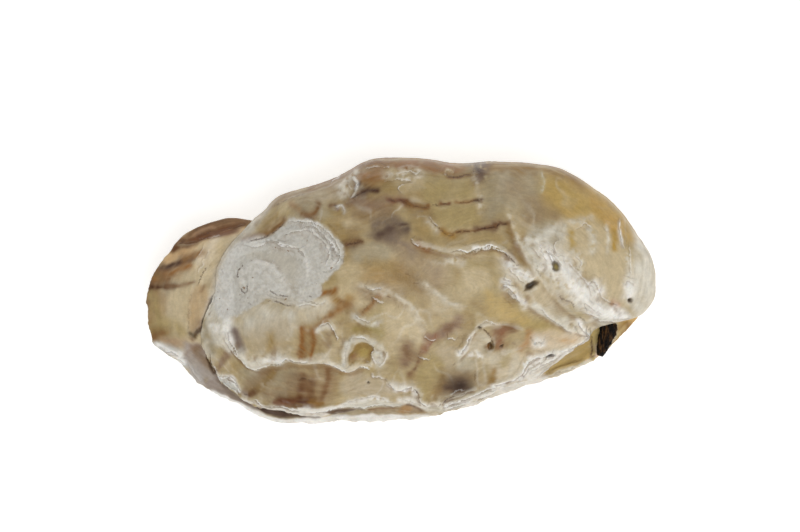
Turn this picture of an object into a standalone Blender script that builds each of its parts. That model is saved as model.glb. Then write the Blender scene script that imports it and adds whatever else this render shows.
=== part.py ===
"""A closed oyster shell: a domed upper valve on a cupped lower valve, with the dark hinge ligament between them.

Metres, +Z up. +X runs along the shell to its rounded hinge end, -X to its newest growth, and the hinge shows on
the -Y side. The origin is the centre of the shell's box, on the level that it rests on.

Both valves are drawn in the same polar way about one middle point. The long plan is squeezed to a circle first,
and a place is then a direction round the shell and a radius, which is 1 about where the margins run.
"""

import math

import bmesh
import bpy
import numpy as np

MM = 0.001

# Heights.
SHELL_HEIGHT = 31.5 * MM
SEAM_LEVEL = 15.2 * MM
SEAM_GAP = 0.35 * MM

# Thickness of the shell.
LIP_THICKNESS = 1.2 * MM
UPPER_WALL = 3.0 * MM
LOWER_WALL = 2.6 * MM
SEAT_THICKNESS = 3.4 * MM

# The lower valve's seat starts at this share of the margin, and its flat scar ends at this share of the seat.
SEAT_SHARE = 0.9
HOLLOW_SHARE = 0.93
SCAR_SHARE = 0.44

# Every ring of a valve has this many points, spread evenly in direction. A margin's small waves fade inwards.
RING_POINTS = 88
MIDDLE = np.array([3.0, 0.0]) * MM
HALF_SIZES = np.array([52.0, 28.0]) * MM
BROAD_WAVES = 3
WAVE_FADE = 2.5

# Margins of the two valves in plan, in millimetres, anticlockwise from the hinge end.
UPPER_MARGIN_MM = [
    (55.0, 1.6), (54.1, 6.8), (50.9, 12.2), (44.9, 19.6), (38.1, 24.1), (30.0, 27.1), (19.8, 27.8),
    (12.7, 27.4), (3.3, 28.6), (-5.2, 28.3), (-13.8, 24.5), (-20.6, 22.0), (-26.4, 20.2), (-32.3, 14.8),
    (-36.7, 10.0), (-39.6, 5.2), (-40.4, -1.1), (-43.4, -8.9), (-41.5, -15.2), (-39.2, -19.2),
    (-35.1, -23.0), (-30.2, -25.2), (-23.4, -26.8), (-17.4, -27.3), (-12.6, -26.3), (-2.0, -26.3),
    (5.9, -26.9), (14.1, -24.8), (21.3, -21.5), (29.7, -18.6), (36.1, -13.5), (41.5, -9.0), (47.8, -6.9),
    (51.3, -5.6), (53.9, -3.0),
]
LOWER_MARGIN_MM = [
    (53.6, 1.6), (52.6, 6.4), (49.4, 11.5), (43.6, 18.4), (37.1, 22.7), (29.4, 25.6), (19.6, 26.4),
    (12.6, 26.1), (3.2, 27.2), (-5.0, 26.8), (-13.3, 23.2), (-20.0, 20.7), (-25.4, 18.8), (-31.0, 15.2),
    (-36.0, 15.8), (-40.9, 14.8), (-46.3, 12.4), (-50.4, 7.8), (-53.8, 3.3), (-55.0, -2.0),
    (-54.4, -7.5), (-53.0, -11.8), (-49.4, -14.4), (-46.2, -17.2), (-42.6, -20.7), (-35.4, -24.6),
    (-28.2, -28.3), (-18.5, -28.7), (-7.0, -28.2), (3.0, -27.8), (10.5, -26.3), (21.3, -22.4), (31.0, -19.2),
    (39.2, -16.1), (43.0, -14.1), (46.2, -11.4), (49.6, -7.9), (52.2, -4.0),
]

# Where the lower valve runs out past the upper one, its lip rolls down: this far at the long left lobe.
LOBE_REACH = 15.0 * MM
LOBE_ROLL = 2.4 * MM
ROLL_POWER = 1.6

# At the hinge the lower valve's plate falls away from the upper valve like an open wedge.
HINGE_PLACE = np.array([43.0, -12.0]) * MM
HINGE_REACH = np.array([13.0, 9.0]) * MM
HINGE_DIP = 2.8 * MM
WEDGE_START = -4.0 * MM
WEDGE_LENGTH = 6.0 * MM

# The ligament crosses the hinge plate, from under the upper valve out to the lower valve's edge.
LIGAMENT_START = np.array([45.1, -6.8]) * MM
LIGAMENT_END = np.array([43.0, -13.6]) * MM
LIGAMENT_WIDTHS = (4.0 * MM, 2.2 * MM)
LIGAMENT_GAP = 0.4 * MM
LIGAMENT_TAPER = 0.7
LIGAMENT_SECTIONS = 10
LIGAMENT_SIDES = 14


def clear_scene():
    for old in list(bpy.data.objects):
        bpy.data.objects.remove(old)


RING_ANGLES = np.linspace(-math.pi, math.pi, RING_POINTS, endpoint=False)


def polar(plan):
    """Direction and radius of points in plan, once the plan is squeezed to a circle."""
    reach = (plan - MIDDLE) / HALF_SIZES
    return np.arctan2(reach[:, 1], reach[:, 0]), np.hypot(reach[:, 0], reach[:, 1])


def plan_of(angle, radius):
    """Points in plan at a direction and a radius."""
    return MIDDLE + np.column_stack([np.cos(angle) * radius, np.sin(angle) * radius]) * HALF_SIZES


def margin(points_mm, wanted):
    """Radius of a margin in the wanted directions: a smooth curve through its points."""
    angle, radius = polar(np.array(points_mm) * MM)
    order = np.argsort(angle)
    angle = angle[order]
    radius = radius[order]
    turn = 2 * math.pi
    angle = np.concatenate([angle[-2:] - turn, angle, angle[:2] + turn])
    radius = np.concatenate([radius[-2:], radius, radius[:2]])
    slope = np.gradient(radius, angle)
    i = np.searchsorted(angle, wanted) - 1
    span = angle[i + 1] - angle[i]
    t = (wanted - angle[i]) / span
    from_points = (2 * t**3 - 3 * t**2 + 1) * radius[i] + (3 * t**2 - 2 * t**3) * radius[i + 1]
    from_slopes = (t**3 - 2 * t**2 + t) * slope[i] + (t**3 - t**2) * slope[i + 1]
    return from_points + from_slopes * span


def ring_radius(radius, share):
    """A ring's radius in each direction, at a share of the way out to a margin."""
    waves = np.fft.rfft(radius)
    waves[BROAD_WAVES + 1:] = 0
    broad = np.fft.irfft(waves, RING_POINTS)
    return share * (broad + (radius - broad) * share**WAVE_FADE)


def smoothstep(value):
    t = np.clip(value, 0, 1)
    return t * t * (3 - 2 * t)


def seam(plan):
    """Height of the gently waving surface on which the two valves meet."""
    x, y = plan[:, 0] / MM, plan[:, 1] / MM
    wave = 0.9 * np.sin(x / 17 + 0.6) + 0.5 * np.cos(y / 9 + x / 30)
    return SEAM_LEVEL + wave * MM


def dome(share):
    """Rise of the upper valve in each direction, from 1 at the crown to 0 at the margin.

    It rounds over boldly at the back and at the hinge end, and flares out at the front and the left.
    """
    lean = 0.5 * np.cos(RING_ANGLES) + 0.87 * np.sin(RING_ANGLES)
    full = 0.5 + 0.5 * np.sin(lean * math.pi / 2)
    return np.clip(1 - share ** (2.1 + 0.9 * full), 0, 1) ** (1.15 - 0.55 * full)


def upper_outside(radius, share):
    plan = plan_of(RING_ANGLES, ring_radius(radius, share))
    foot = seam(plan) + SEAM_GAP + LIP_THICKNESS
    return np.column_stack([plan, foot + (SHELL_HEIGHT - foot) * dome(share)])


def upper_inside(radius, share):
    plan = plan_of(RING_ANGLES, ring_radius(radius, share))
    foot = seam(plan) + SEAM_GAP
    hollow = dome(min(share / HOLLOW_SHARE, 1.0))
    return np.column_stack([plan, foot + (SHELL_HEIGHT - UPPER_WALL - foot) * hollow])


def lip_level(plan):
    """Top of the lower valve's seat and rim at any place in plan."""
    angle, radius = polar(plan)
    reach = np.hypot(np.cos(angle) * HALF_SIZES[0], np.sin(angle) * HALF_SIZES[1])
    past = (radius - margin(UPPER_MARGIN_MM, angle)) * reach
    away = ((plan - HINGE_PLACE) / HINGE_REACH) ** 2
    wedge = smoothstep((past - WEDGE_START) / WEDGE_LENGTH)
    dip = HINGE_DIP * wedge * np.exp(-away.sum(axis=1))
    roll = LOBE_ROLL * (np.maximum(past, 0) / LOBE_REACH) ** ROLL_POWER
    return seam(plan) - dip - roll


def lower_inside(seat, share):
    plan = plan_of(RING_ANGLES, ring_radius(seat, share))
    brim = lip_level(plan_of(RING_ANGLES, seat))
    return np.column_stack([plan, LOWER_WALL + (brim - LOWER_WALL) * share**4])


def lower_rim(seat, edge, outward, thickness):
    """A ring of the rim, outward running from 0 on the seat to 1 on the margin, at a depth under its top."""
    plan = plan_of(RING_ANGLES, seat + (edge - seat) * outward)
    return np.column_stack([plan, lip_level(plan) - thickness])


def lower_outside(seat, share):
    plan = plan_of(RING_ANGLES, ring_radius(seat, share))
    brim = lip_level(plan_of(RING_ANGLES, seat)) - SEAT_THICKNESS
    climb = (share - SCAR_SHARE) / (1 - SCAR_SHARE)
    return np.column_stack([plan, brim * climb**1.7])


def loft(name, rings, first_point, last_point):
    """One closed body bridged from ring to ring, each end ring closed on a point of its own."""
    bm = bmesh.new()
    loops = []
    for ring in rings:
        corners = [bm.verts.new(place) for place in ring]
        loops.append([bm.edges.new((corners[i - 1], corner)) for i, corner in enumerate(corners)])
    for one, next_one in zip(loops, loops[1:]):
        bmesh.ops.bridge_loops(bm, edges=one + next_one)
    for loop, point in ((loops[0], first_point), (loops[-1], last_point)):
        cap = bmesh.ops.contextual_create(bm, geom=loop)["faces"]
        tip = bmesh.ops.poke(bm, faces=cap)["verts"][0]
        tip.co = point
    bmesh.ops.recalc_face_normals(bm, faces=bm.faces)
    bmesh.ops.triangulate(bm, faces=bm.faces)
    mesh = bpy.data.meshes.new(name)
    bm.to_mesh(mesh)
    bm.free()
    mesh.shade_smooth()
    mesh.set_sharp_from_angle(angle=math.radians(50))
    made = bpy.data.objects.new(name, mesh)
    bpy.context.scene.collection.objects.link(made)
    return made


def finish(part, color, roughness):
    """Give a piece its own plain material."""
    material = bpy.data.materials.new(part.name)
    material.use_nodes = True
    shader = material.node_tree.nodes["Principled BSDF"]
    shader.inputs["Base Color"].default_value = (*color, 1.0)
    shader.inputs["Roughness"].default_value = roughness
    shader.inputs["Metallic"].default_value = 0.0
    part.data.materials.append(material)


def upper_valve():
    radius = margin(UPPER_MARGIN_MM, RING_ANGLES)
    outside = [upper_outside(radius, share) for share in
               (0.14, 0.28, 0.41, 0.53, 0.64, 0.74, 0.82, 0.885, 0.935, 0.97, 0.99, 1.0)]
    inside = [upper_inside(radius, share) for share in (0.995, 0.93, 0.9, 0.84, 0.75, 0.64, 0.5, 0.33, 0.16)]
    crown = upper_outside(radius, 0.0)[0]
    ceiling = upper_inside(radius, 0.0)[0]
    return loft("upper_valve", outside + inside, crown, ceiling)


def lower_valve():
    edge = margin(LOWER_MARGIN_MM, RING_ANGLES)
    seat = np.minimum(margin(UPPER_MARGIN_MM, RING_ANGLES), edge) * SEAT_SHARE
    rings = [lower_inside(seat, share) for share in (0.25, 0.45, 0.62, 0.76, 0.87, 0.95)]
    rings += [lower_rim(seat, edge, outward, 0.0) for outward in (0.0, 0.17, 0.34, 0.5, 0.66, 0.8, 0.92, 1.0)]
    for outward in (0.985, 0.8, 0.45, 0.0):
        thickness = LIP_THICKNESS + (SEAT_THICKNESS - LIP_THICKNESS) * (1 - outward)
        rings.append(lower_rim(seat, edge, outward, thickness))
    rings += [lower_outside(seat, share) for share in (0.92, 0.82, 0.71, 0.59, SCAR_SHARE)]
    floor = (*MIDDLE, LOWER_WALL)
    scar_middle = (*MIDDLE, 0.0)
    return loft("lower_valve", rings, floor, scar_middle)


def hinge_ligament():
    """A rounded strip that fills the wedge between the hinge plate below and the seam above."""
    along = LIGAMENT_END - LIGAMENT_START
    across = np.array([-along[1], along[0]]) / np.linalg.norm(along)
    turn = np.linspace(0, 2 * math.pi, LIGAMENT_SIDES, endpoint=False)
    rings = []
    ends = []
    for t in np.linspace(0, 1, LIGAMENT_SECTIONS):
        bulge = math.sqrt(1 - LIGAMENT_TAPER * (2 * t - 1) ** 4)
        half_width = bulge * (LIGAMENT_WIDTHS[0] * (1 - t) + LIGAMENT_WIDTHS[1] * t) / 2
        plan = LIGAMENT_START + along * t + np.outer(np.cos(turn) * half_width, across)
        base = lip_level(plan) + LIGAMENT_GAP
        top = seam(plan)
        middle = (base + top) / 2
        rings.append(np.column_stack([plan, middle + (top - base) / 2 * bulge * np.sin(turn)]))
        ends.append(rings[-1].mean(axis=0))
    return loft("hinge_ligament", rings, ends[0], ends[-1])


def main():
    clear_scene()
    finish(upper_valve(), (0.48, 0.41, 0.30), 0.55)
    finish(lower_valve(), (0.42, 0.34, 0.24), 0.6)
    finish(hinge_ligament(), (0.035, 0.016, 0.008), 0.4)


main()
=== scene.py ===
# %% [markdown]
# # A closed oyster shell
#
# An oyster shell is two valves that meet along a ragged margin, with a dark strip of ligament at the hinge.
# Each valve grew outwards in thin sheets, so its outside is a pile of overlapping layers: sheet edges,
# ruffles, worn chalky patches, brown stripes and a few holes that other animals bored.
#
# The fixed frame gives the plain valves at their real size. This script makes the same two valves again
# with their fine surface, and paints and lights them.

# %% Load the frame
import math

import bmesh
import bpy
import numpy as np
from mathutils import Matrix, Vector


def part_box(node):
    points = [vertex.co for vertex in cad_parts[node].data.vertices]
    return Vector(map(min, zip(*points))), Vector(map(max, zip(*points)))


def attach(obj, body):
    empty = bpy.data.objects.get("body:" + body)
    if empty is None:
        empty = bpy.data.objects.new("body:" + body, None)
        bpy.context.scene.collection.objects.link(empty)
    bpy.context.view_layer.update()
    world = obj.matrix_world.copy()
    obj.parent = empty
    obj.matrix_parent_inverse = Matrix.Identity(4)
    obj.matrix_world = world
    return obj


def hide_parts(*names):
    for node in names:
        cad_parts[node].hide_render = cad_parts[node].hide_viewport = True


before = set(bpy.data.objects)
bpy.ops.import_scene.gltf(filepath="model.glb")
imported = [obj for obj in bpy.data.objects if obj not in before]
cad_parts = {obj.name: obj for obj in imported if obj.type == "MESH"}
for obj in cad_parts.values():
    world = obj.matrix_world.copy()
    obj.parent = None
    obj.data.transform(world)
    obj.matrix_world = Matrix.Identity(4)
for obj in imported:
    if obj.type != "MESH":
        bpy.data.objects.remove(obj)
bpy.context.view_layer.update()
print("frame nodes:", sorted(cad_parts))

# %% [markdown]
# ## Measures
#
# Work on a shell this small is easier in millimetres, so everything is worked out in millimetres and made
# metres at the end. Both valves are described in the same polar way about one middle point: a direction
# round the shell, and a radius. Squeezing the long plan to a circle first keeps the directions evenly
# spread, and makes the radius about 1 where the margins run.

# %% Measures of the whole shell
MM = 0.001
MIDDLE = np.array([3.0, 0.0])
HALF_SIZES = np.array([52.0, 28.0])
SEAM_LEVEL = 15.2
SEAM_GAP = 0.35
LIP_THICKNESS = 1.2
SEAT_SHARE = 0.9
SEAT_THICKNESS = 3.4
UPPER_WALL = 2.4
LOWER_WALL = 2.6
SCAR_SHARE = 0.44
LIP_START = 0.965
RELIEF_ROOM = 0.7
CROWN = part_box("upper_valve")[1].z / MM - RELIEF_ROOM
print(f"the crown of the upper valve is {CROWN:.1f} mm up")

# %% Read the two margins off the frame
MARGIN_POINTS = 88


def polar(plan):
    """Direction and radius of points in plan, once the plan is squeezed to a circle."""
    reach = (plan - MIDDLE) / HALF_SIZES
    return np.arctan2(reach[:, 1], reach[:, 0]), np.hypot(reach[:, 0], reach[:, 1])


def outwards(angle):
    """Unit steps in plan in some directions."""
    return np.column_stack([np.cos(angle), np.sin(angle)])


def stretch(angle):
    """How many millimetres of the plan one unit of radius covers in some directions."""
    return np.hypot(*(outwards(angle) * HALF_SIZES).T)


def margin_of(node):
    """How far a valve of the frame reaches in each of its directions, starting at -X."""
    corners = np.array([vertex.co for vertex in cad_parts[node].data.vertices]) / MM
    angle, reach = polar(corners[:, :2])
    slot = np.rint((angle / (2 * math.pi) + 0.5) * MARGIN_POINTS).astype(int) % MARGIN_POINTS
    radius = np.zeros(MARGIN_POINTS)
    np.maximum.at(radius, slot, reach)
    return radius


def broad(radius, waves=3):
    """A margin with only its broadest waves left."""
    parts = np.fft.rfft(radius)
    parts[waves + 1:] = 0
    return np.fft.irfft(parts, len(radius))


def between(before, here, after, later, t):
    """A smooth curve through four values or points, read at a share t between the middle two."""
    bow = 2 * before - 5 * here + 4 * after - later
    twist = 3 * (here - after) + later - before
    return here + 0.5 * t * (after - before + t * (bow + t * twist))


def read_round(values, angle):
    """Read a ring of values at any angle, smoothly."""
    place = (angle / (2 * math.pi) + 0.5) * len(values)
    base = np.floor(place).astype(int)
    neighbours = [values[(base + step) % len(values)] for step in (-1, 0, 1, 2)]
    return between(*neighbours, place - base)


def notched(margin, notches):
    """A margin with notches. Each has a direction, a width in degrees, and a depth, below 0 for a bulge."""
    directions = np.degrees(np.linspace(-math.pi, math.pi, len(margin), endpoint=False))
    for direction, width, depth in notches:
        margin = margin - depth * np.exp(-(((directions - direction) / width) ** 2))
    return margin


UPPER_NOTCHES = [(-19.5, 3.5, 0.026), (-29, 4, -0.028), (134, 3, 0.014), (56, 5, -0.015), (103, 5, -0.01),
    (124, 4, -0.01)]
LOWER_NOTCHES = [(139, 3.2, 0.06), (-49, 8, -0.013), (-145, 5, -0.01), (-130, 6, 0.008)]
UPPER_MARGIN = notched(margin_of("upper_valve"), UPPER_NOTCHES)
LOWER_MARGIN = notched(margin_of("lower_valve"), LOWER_NOTCHES)
SEAT = np.minimum(UPPER_MARGIN, LOWER_MARGIN) * SEAT_SHARE
print("the upper margin reaches", UPPER_MARGIN.min().round(2), "to", UPPER_MARGIN.max().round(2))

# %% [markdown]
# ## Small tools for sculpting
#
# A sculptor models a rough surface with a few repeated moves: a soft lump, a raised line, the edge of a
# sheet, a hole. Here each move is a function that gives a height in millimetres at every point of the
# surface. The same places are later painted with the same kind of functions, so that colour and relief stay
# together.

# %% Noise that gives the same result each time
NOISE_TILES = 64


def noise(plan, size, seed):
    """Smooth random heights of about -1 to 1. size is the width of one lump in millimetres."""
    slopes = np.random.default_rng(seed).normal(size=(NOISE_TILES, NOISE_TILES, 2))
    place = plan[:, :2] / size
    cell = np.floor(place).astype(int)
    part = place - cell
    ease = part**3 * (part * (part * 6 - 15) + 10)
    total = np.zeros(len(plan))
    for right in (0, 1):
        for up in (0, 1):
            slope = slopes[(cell[:, 0] + right) % NOISE_TILES, (cell[:, 1] + up) % NOISE_TILES]
            away = part - (right, up)
            weight = np.where(right, ease[:, 0], 1 - ease[:, 0]) * np.where(up, ease[:, 1], 1 - ease[:, 1])
            total += weight * (slope * away).sum(axis=1)
    return total * 1.1


def rough(plan, size, seed, layers=4, fade=0.5):
    """Noise on top of finer noise."""
    return sum(fade**k * noise(plan, size / 2**k, seed + k) for k in range(layers))


def smoothstep(low, high, value):
    """0 below low, 1 above high, and an eased climb from one to the other."""
    t = np.clip((value - low) / (high - low), 0, 1)
    return t * t * (3 - 2 * t)


def bend(plan, size, amount, seed):
    """Push places about a little, so that what is drawn on them gets a natural, uneven outline."""
    return plan + amount * np.column_stack([noise(plan, size, seed), noise(plan, size, seed + 5)])


def veins(plan, size, seed, thin=0.12):
    """A net of thin winding lines, 1 on a line."""
    return np.exp(-((rough(plan, size, seed, 2) / thin) ** 2))


# %% Distances to drawn lines


def smooth_path(path, steps=4):
    """A smooth curve through a path. A path is a plain list: x, y of its first point, x, y of its next."""
    points = np.reshape(path, (-1, 2)).astype(float)
    if len(points) < 3:
        return points
    ends = np.vstack([2 * points[0] - points[1], points, 2 * points[-1] - points[-2]])
    curve = []
    for a, b, c, d in zip(ends, ends[1:], ends[2:], ends[3:]):
        curve += [between(a, b, c, d, t) for t in np.linspace(0, 1, steps, endpoint=False)]
    curve.append(points[-1])
    return np.array(curve)


def near(plan, path, reach):
    """Points within reach of a path: their indices, distance, side (+1 on its left) and share along it."""
    curve = smooth_path(path)
    low, high = curve.min(axis=0) - reach, curve.max(axis=0) + reach
    chosen = np.flatnonzero(((plan > low) & (plan < high)).all(axis=1))
    place = plan[chosen]
    lengths = np.linalg.norm(np.diff(curve, axis=0), axis=1)
    starts = np.concatenate([[0], np.cumsum(lengths)])
    best = np.full(len(place), 1e9)
    side = np.zeros(len(place))
    along = np.zeros(len(place))
    for start, end, length, walked in zip(curve, curve[1:], lengths, starts):
        run = (end - start) / max(length, 1e-9)
        away = place - start
        walk = np.clip(away @ run, 0, length)
        gap = away - walk[:, None] * run
        distance = np.hypot(gap[:, 0], gap[:, 1])
        closer = distance < best
        best = np.where(closer, distance, best)
        side = np.where(closer, np.sign(run[0] * away[:, 1] - run[1] * away[:, 0]), side)
        along = np.where(closer, (walked + walk) / starts[-1], along)
    return chosen, best, side, along


def tapered(along, blunt=0.15):
    """1 along the middle of a line, dying away at its two ends, unless blunt is 0."""
    return smoothstep(0, blunt, along) * smoothstep(0, blunt, 1 - along) if blunt else 1.0


# %% The sculptor's moves: lines and edges


def line(plan, path, width, blunt=0.15, uneven=0.0):
    """Mask of a soft line, 1 on the path. Its width may swell and shrink along the way."""
    mask = np.zeros(len(plan))
    chosen, distance, _, along = near(plan, path, 3 * width)
    swell = np.clip(1 + uneven * rough(plan[chosen], 3.0, 37, 2), 0.25, 1.6)
    mask[chosen] = np.exp(-((distance / (width * swell)) ** 2)) * tapered(along, blunt)
    return mask


def ledge(plan, path, behind, ahead=0.5, blunt=0.12):
    """A sheet's edge, 1 on the path: it climbs slowly to the path on the left, and drops on the right."""
    mask = np.zeros(len(plan))
    chosen, distance, side, along = near(plan, path, 3 * behind)
    climb = np.exp(-((distance / behind) ** 1.4))
    drop = np.exp(-((distance / ahead) ** 2))
    mask[chosen] = np.where(side > 0, climb, drop) * tapered(along, blunt)
    return mask


STROKE_REACH = 1.6


def closest(plan, strokes, reach=STROKE_REACH):
    """Distance to the closest of some strokes, minus on its right side, and its strength there."""
    side = np.full(len(plan), reach)
    strength = np.zeros(len(plan))
    gap = np.full(len(plan), reach)
    for path, amount in strokes:
        chosen, distance, left, along = near(plan, path, reach)
        wins = distance < gap[chosen]
        chosen = chosen[wins]
        gap[chosen] = distance[wins]
        side[chosen] = distance[wins] * left[wins]
        fade = smoothstep(reach, 0.6 * reach, distance[wins])
        strength[chosen] = amount * tapered(along[wins], 0.1) * fade
    return side, strength


# %% The sculptor's moves: ovals and whole areas


def spot(plan, centre, sizes, turn=0.0, power=2.0):
    """A soft oval, 1 in its middle. A high power gives it a flat middle and a steep edge."""
    away = plan - centre
    cosine, sine = math.cos(math.radians(turn)), math.sin(math.radians(turn))
    u = (away[:, 0] * cosine + away[:, 1] * sine) / sizes[0]
    v = (away[:, 1] * cosine - away[:, 0] * sine) / sizes[1]
    return np.exp(-((u * u + v * v) ** (power / 2)))


def area(plan, outline, soft, wander=0.0, seed=0):
    """Mask of a closed area with a soft edge, which noise may make uneven."""
    closed = outline + outline[:2]
    curve = smooth_path(closed)
    inside = np.zeros(len(plan), bool)
    for (x0, y0), (x1, y1) in zip(curve, curve[1:]):
        crosses = (y0 > plan[:, 1]) != (y1 > plan[:, 1])
        rise = y1 - y0 if abs(y1 - y0) > 1e-9 else 1e-9
        inside ^= crosses & (plan[:, 0] < x0 + (plan[:, 1] - y0) * (x1 - x0) / rise)
    limit = 3 * soft + 3 * wander
    signed = np.where(inside, limit, -limit)
    chosen, distance, _, _ = near(plan, closed, limit)
    distance = np.minimum(distance, limit)
    signed[chosen] = np.where(inside[chosen], distance, -distance)
    if wander:
        signed = signed + wander * rough(plan, 3.0, seed, 3)
    return smoothstep(-soft, soft, signed)


# %% Glazes, strokes, fields and dabs


def pigment(red, green, blue):
    """A colour as the eye reads it, on a scale of 0 to 255, turned into linear light."""
    return (np.array([red, green, blue]) / 255) ** 2.2


def glaze(tint, mask, colour, strength=1.0):
    """Lay one colour over the tint where the mask is."""
    cover = np.clip(mask * strength, 0, 1)[:, None]
    tint += (colour - tint) * cover


def brush(tint, plan, strokes, fray):
    """Paint strokes. Each has a path, a width, a colour, a strength, and maybe how broken up it is."""
    for path, width, colour, strength, *broken in strokes:
        mask = line(plan, path, width, 0.15 if width < 0.5 else 0.0, 0.45)
        if broken:
            mask = mask * smoothstep(-0.35, 0.25, noise(plan, 1.0, 109) + 0.45 - broken[0])
        glaze(tint, mask * (1 + fray), colour, strength)


def wash(tint, plan, fields, fray):
    """Paint whole fields. Each has an outline, a softness, a colour and a strength."""
    for seed, (outline, soft, colour, strength) in enumerate(fields):
        uneven = 0.95 + 0.3 * noise(plan, 3.0, 131 + seed) + fray
        glaze(tint, area(plan, outline, soft) * uneven, colour, strength)


def dab(tint, plan, patches):
    """Paint soft oval patches. Each has a centre, two sizes, a turn, a colour and a strength."""
    for centre, sizes, turn, colour, strength in patches:
        glaze(tint, spot(plan, centre, sizes, turn), colour, strength)


# %% Pigments
TAN = pigment(156, 131, 84)
BARK = pigment(140, 114, 72)
KHAKI = pigment(168, 148, 102)
HONEY = pigment(156, 118, 56)
GOLD = pigment(180, 146, 78)
CREAM = pigment(200, 182, 146)
BEIGE = pigment(182, 163, 126)
PEARL = pigment(220, 213, 196)
WHITE = pigment(244, 241, 234)
CHALK = pigment(196, 194, 186)
ASH = pigment(160, 146, 118)
SAND = pigment(184, 156, 116)
UMBER = pigment(122, 86, 48)
RUST = pigment(142, 98, 52)
DARK_BROWN = pigment(78, 50, 30)
PLUM = pigment(80, 60, 50)
SEPIA = pigment(108, 84, 64)
MAUVE = pigment(138, 122, 108)
OLIVE = pigment(150, 132, 74)
# Painted shade for the insides of the bored holes.
PIT_SHADE = pigment(40, 31, 20)
FAWN = pigment(128, 98, 70)
LINEN = pigment(204, 192, 168)
IVORY = pigment(230, 224, 212)
CLAY = pigment(150, 128, 98)
WALNUT = pigment(100, 68, 44)
OAT = pigment(186, 170, 142)
BONE = pigment(208, 202, 186)
DUST = pigment(170, 157, 130)
TAUPE = pigment(138, 112, 88)
SMOKE = pigment(116, 98, 80)
STRAW = pigment(184, 156, 96)
NUT = pigment(128, 95, 60)
TOFFEE = pigment(148, 110, 68)
PEAT = pigment(90, 70, 58)
CHESTNUT = pigment(112, 72, 46)
STONE = pigment(158, 136, 106)
AMBER = pigment(160, 124, 72)
WHEAT = pigment(196, 176, 132)
APRICOT = pigment(196, 162, 118)
print("a pigment for the ground:", BEIGE.round(2))

# %% [markdown]
# ## The blank for a valve
#
# Each valve is pressed from the same kind of blank: a flat slab of two square grids joined all round, fine
# on the side that is seen and coarser on the other. The square is bent into a disc, ring by ring, so that
# the rim of the grid becomes the margin of the valve and no point is wasted outside it.

# %% Two sheets and a rim


def blank(top_cells, under_cells):
    """A flat closed slab of two grids, joined all round. Its first points belong to its top."""
    bm = bmesh.new()
    top, under = (bmesh.ops.create_grid(bm, x_segments=columns, y_segments=rows, size=1.0)["verts"]
                  for columns, rows in (top_cells, under_cells))
    bmesh.ops.translate(bm, verts=under, vec=(0, 0, -0.05))
    bmesh.ops.reverse_faces(bm, faces=list({face for vertex in under for face in vertex.link_faces}))
    bmesh.ops.bridge_loops(bm, edges=[edge for edge in bm.edges if edge.is_boundary])
    return bm, np.array([vertex.co for vertex in bm.verts]), len(top)


def disc(corners):
    """Bend the square from -1 to 1 into a disc: the angle and the radius of every point."""
    a, b = corners[:, 0], corners[:, 1]
    radius = np.maximum(abs(a), abs(b))
    wide = abs(a) >= abs(b)
    safe_a = np.where(abs(a) < 1e-9, 1.0, a)
    safe_b = np.where(abs(b) < 1e-9, 1.0, b)
    angle = np.where(wide, math.pi / 4 * b / safe_a + math.pi * (a < 0),
                     math.pi / 2 - math.pi / 4 * a / safe_b + math.pi * (b < 0))
    return (angle + math.pi) % (2 * math.pi) - math.pi, radius


def plan_at(angle, radius):
    """Points in plan at a direction and a radius."""
    return MIDDLE + outwards(angle) * radius[:, None] * HALF_SIZES


def spread(margin, angle, share):
    """Points in plan at a share of the way out to a margin, whose small waves fade out inwards."""
    radius = read_round(broad(margin), angle)
    return plan_at(angle, share * (radius + (read_round(margin, angle) - radius) * share**2.5))


# %% Press a blank into shape


def normals_of(bm, places):
    """Unit normal of each point of a blank once its points are moved to these places."""
    mesh = bpy.data.meshes.new("trial")
    bm.to_mesh(mesh)
    mesh.vertices.foreach_set("co", places.astype(np.float32).ravel())
    mesh.update()
    out = np.zeros(len(places) * 3, np.float32)
    mesh.vertices.foreach_get("normal", out)
    bpy.data.meshes.remove(mesh)
    return out.reshape(-1, 3).astype(float)


def press(name, bm, places, looks):
    """Move the points of a blank to their places in millimetres, and keep their looks as attributes."""
    mesh = bpy.data.meshes.new(name)
    bm.to_mesh(mesh)
    bm.free()
    mesh.vertices.foreach_set("co", (places * MM).astype(np.float32).ravel())
    mesh.shade_smooth()
    for layer, values in looks.items():
        kind, field = ("FLOAT", "value") if values.ndim == 1 else ("FLOAT_VECTOR", "vector")
        mesh.attributes.new(layer, kind, "POINT").data.foreach_set(field, values.astype(np.float32).ravel())
    mesh.update()
    piece = bpy.data.objects.new(name, mesh)
    bpy.context.scene.collection.objects.link(piece)
    print(name, "has", len(mesh.polygons), "faces and these attributes:", list(looks))
    return piece


# %% Small helpers for what the points carry


def growth_flow(grown, angle):
    """Where each point is along the growth of the shell, in millimetres: how far out, and its way round."""
    return np.column_stack([grown, 50 * np.cos(angle), 30 * np.sin(angle)])


def fill_up(values, count, rest=0.0):
    """Values for the points of the top of a blank, with the rest of its points all alike."""
    return np.concatenate([values, np.full(count, rest)])


def soften(values, cells, times):
    """Average every point of a grid with its neighbours, a number of times."""
    grid = values.reshape(cells[1] + 1, cells[0] + 1)
    for _ in range(times):
        padded = np.pad(grid, 1, mode="edge")
        grid = (padded[:-2, 1:-1] + padded[2:, 1:-1] + padded[1:-1, :-2] + padded[1:-1, 2:]) / 4
    return grid.ravel()


# %% [markdown]
# ## The upper valve: its plain form
#
# The frame's upper valve is a dome that rounds over boldly at the back and the hinge end, and flares out at
# the front and the left. The same form is worked out here at every point of the blank. The outermost rows
# of the fine sheet wrap round to make the lip.

# %% Seam, dome and lip


def seam(plan):
    """Height of the gently waving surface on which the two valves meet."""
    x, y = plan[:, 0], plan[:, 1]
    return SEAM_LEVEL + 0.9 * np.sin(x / 17 + 0.6) + 0.5 * np.cos(y / 9 + x / 30)


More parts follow.
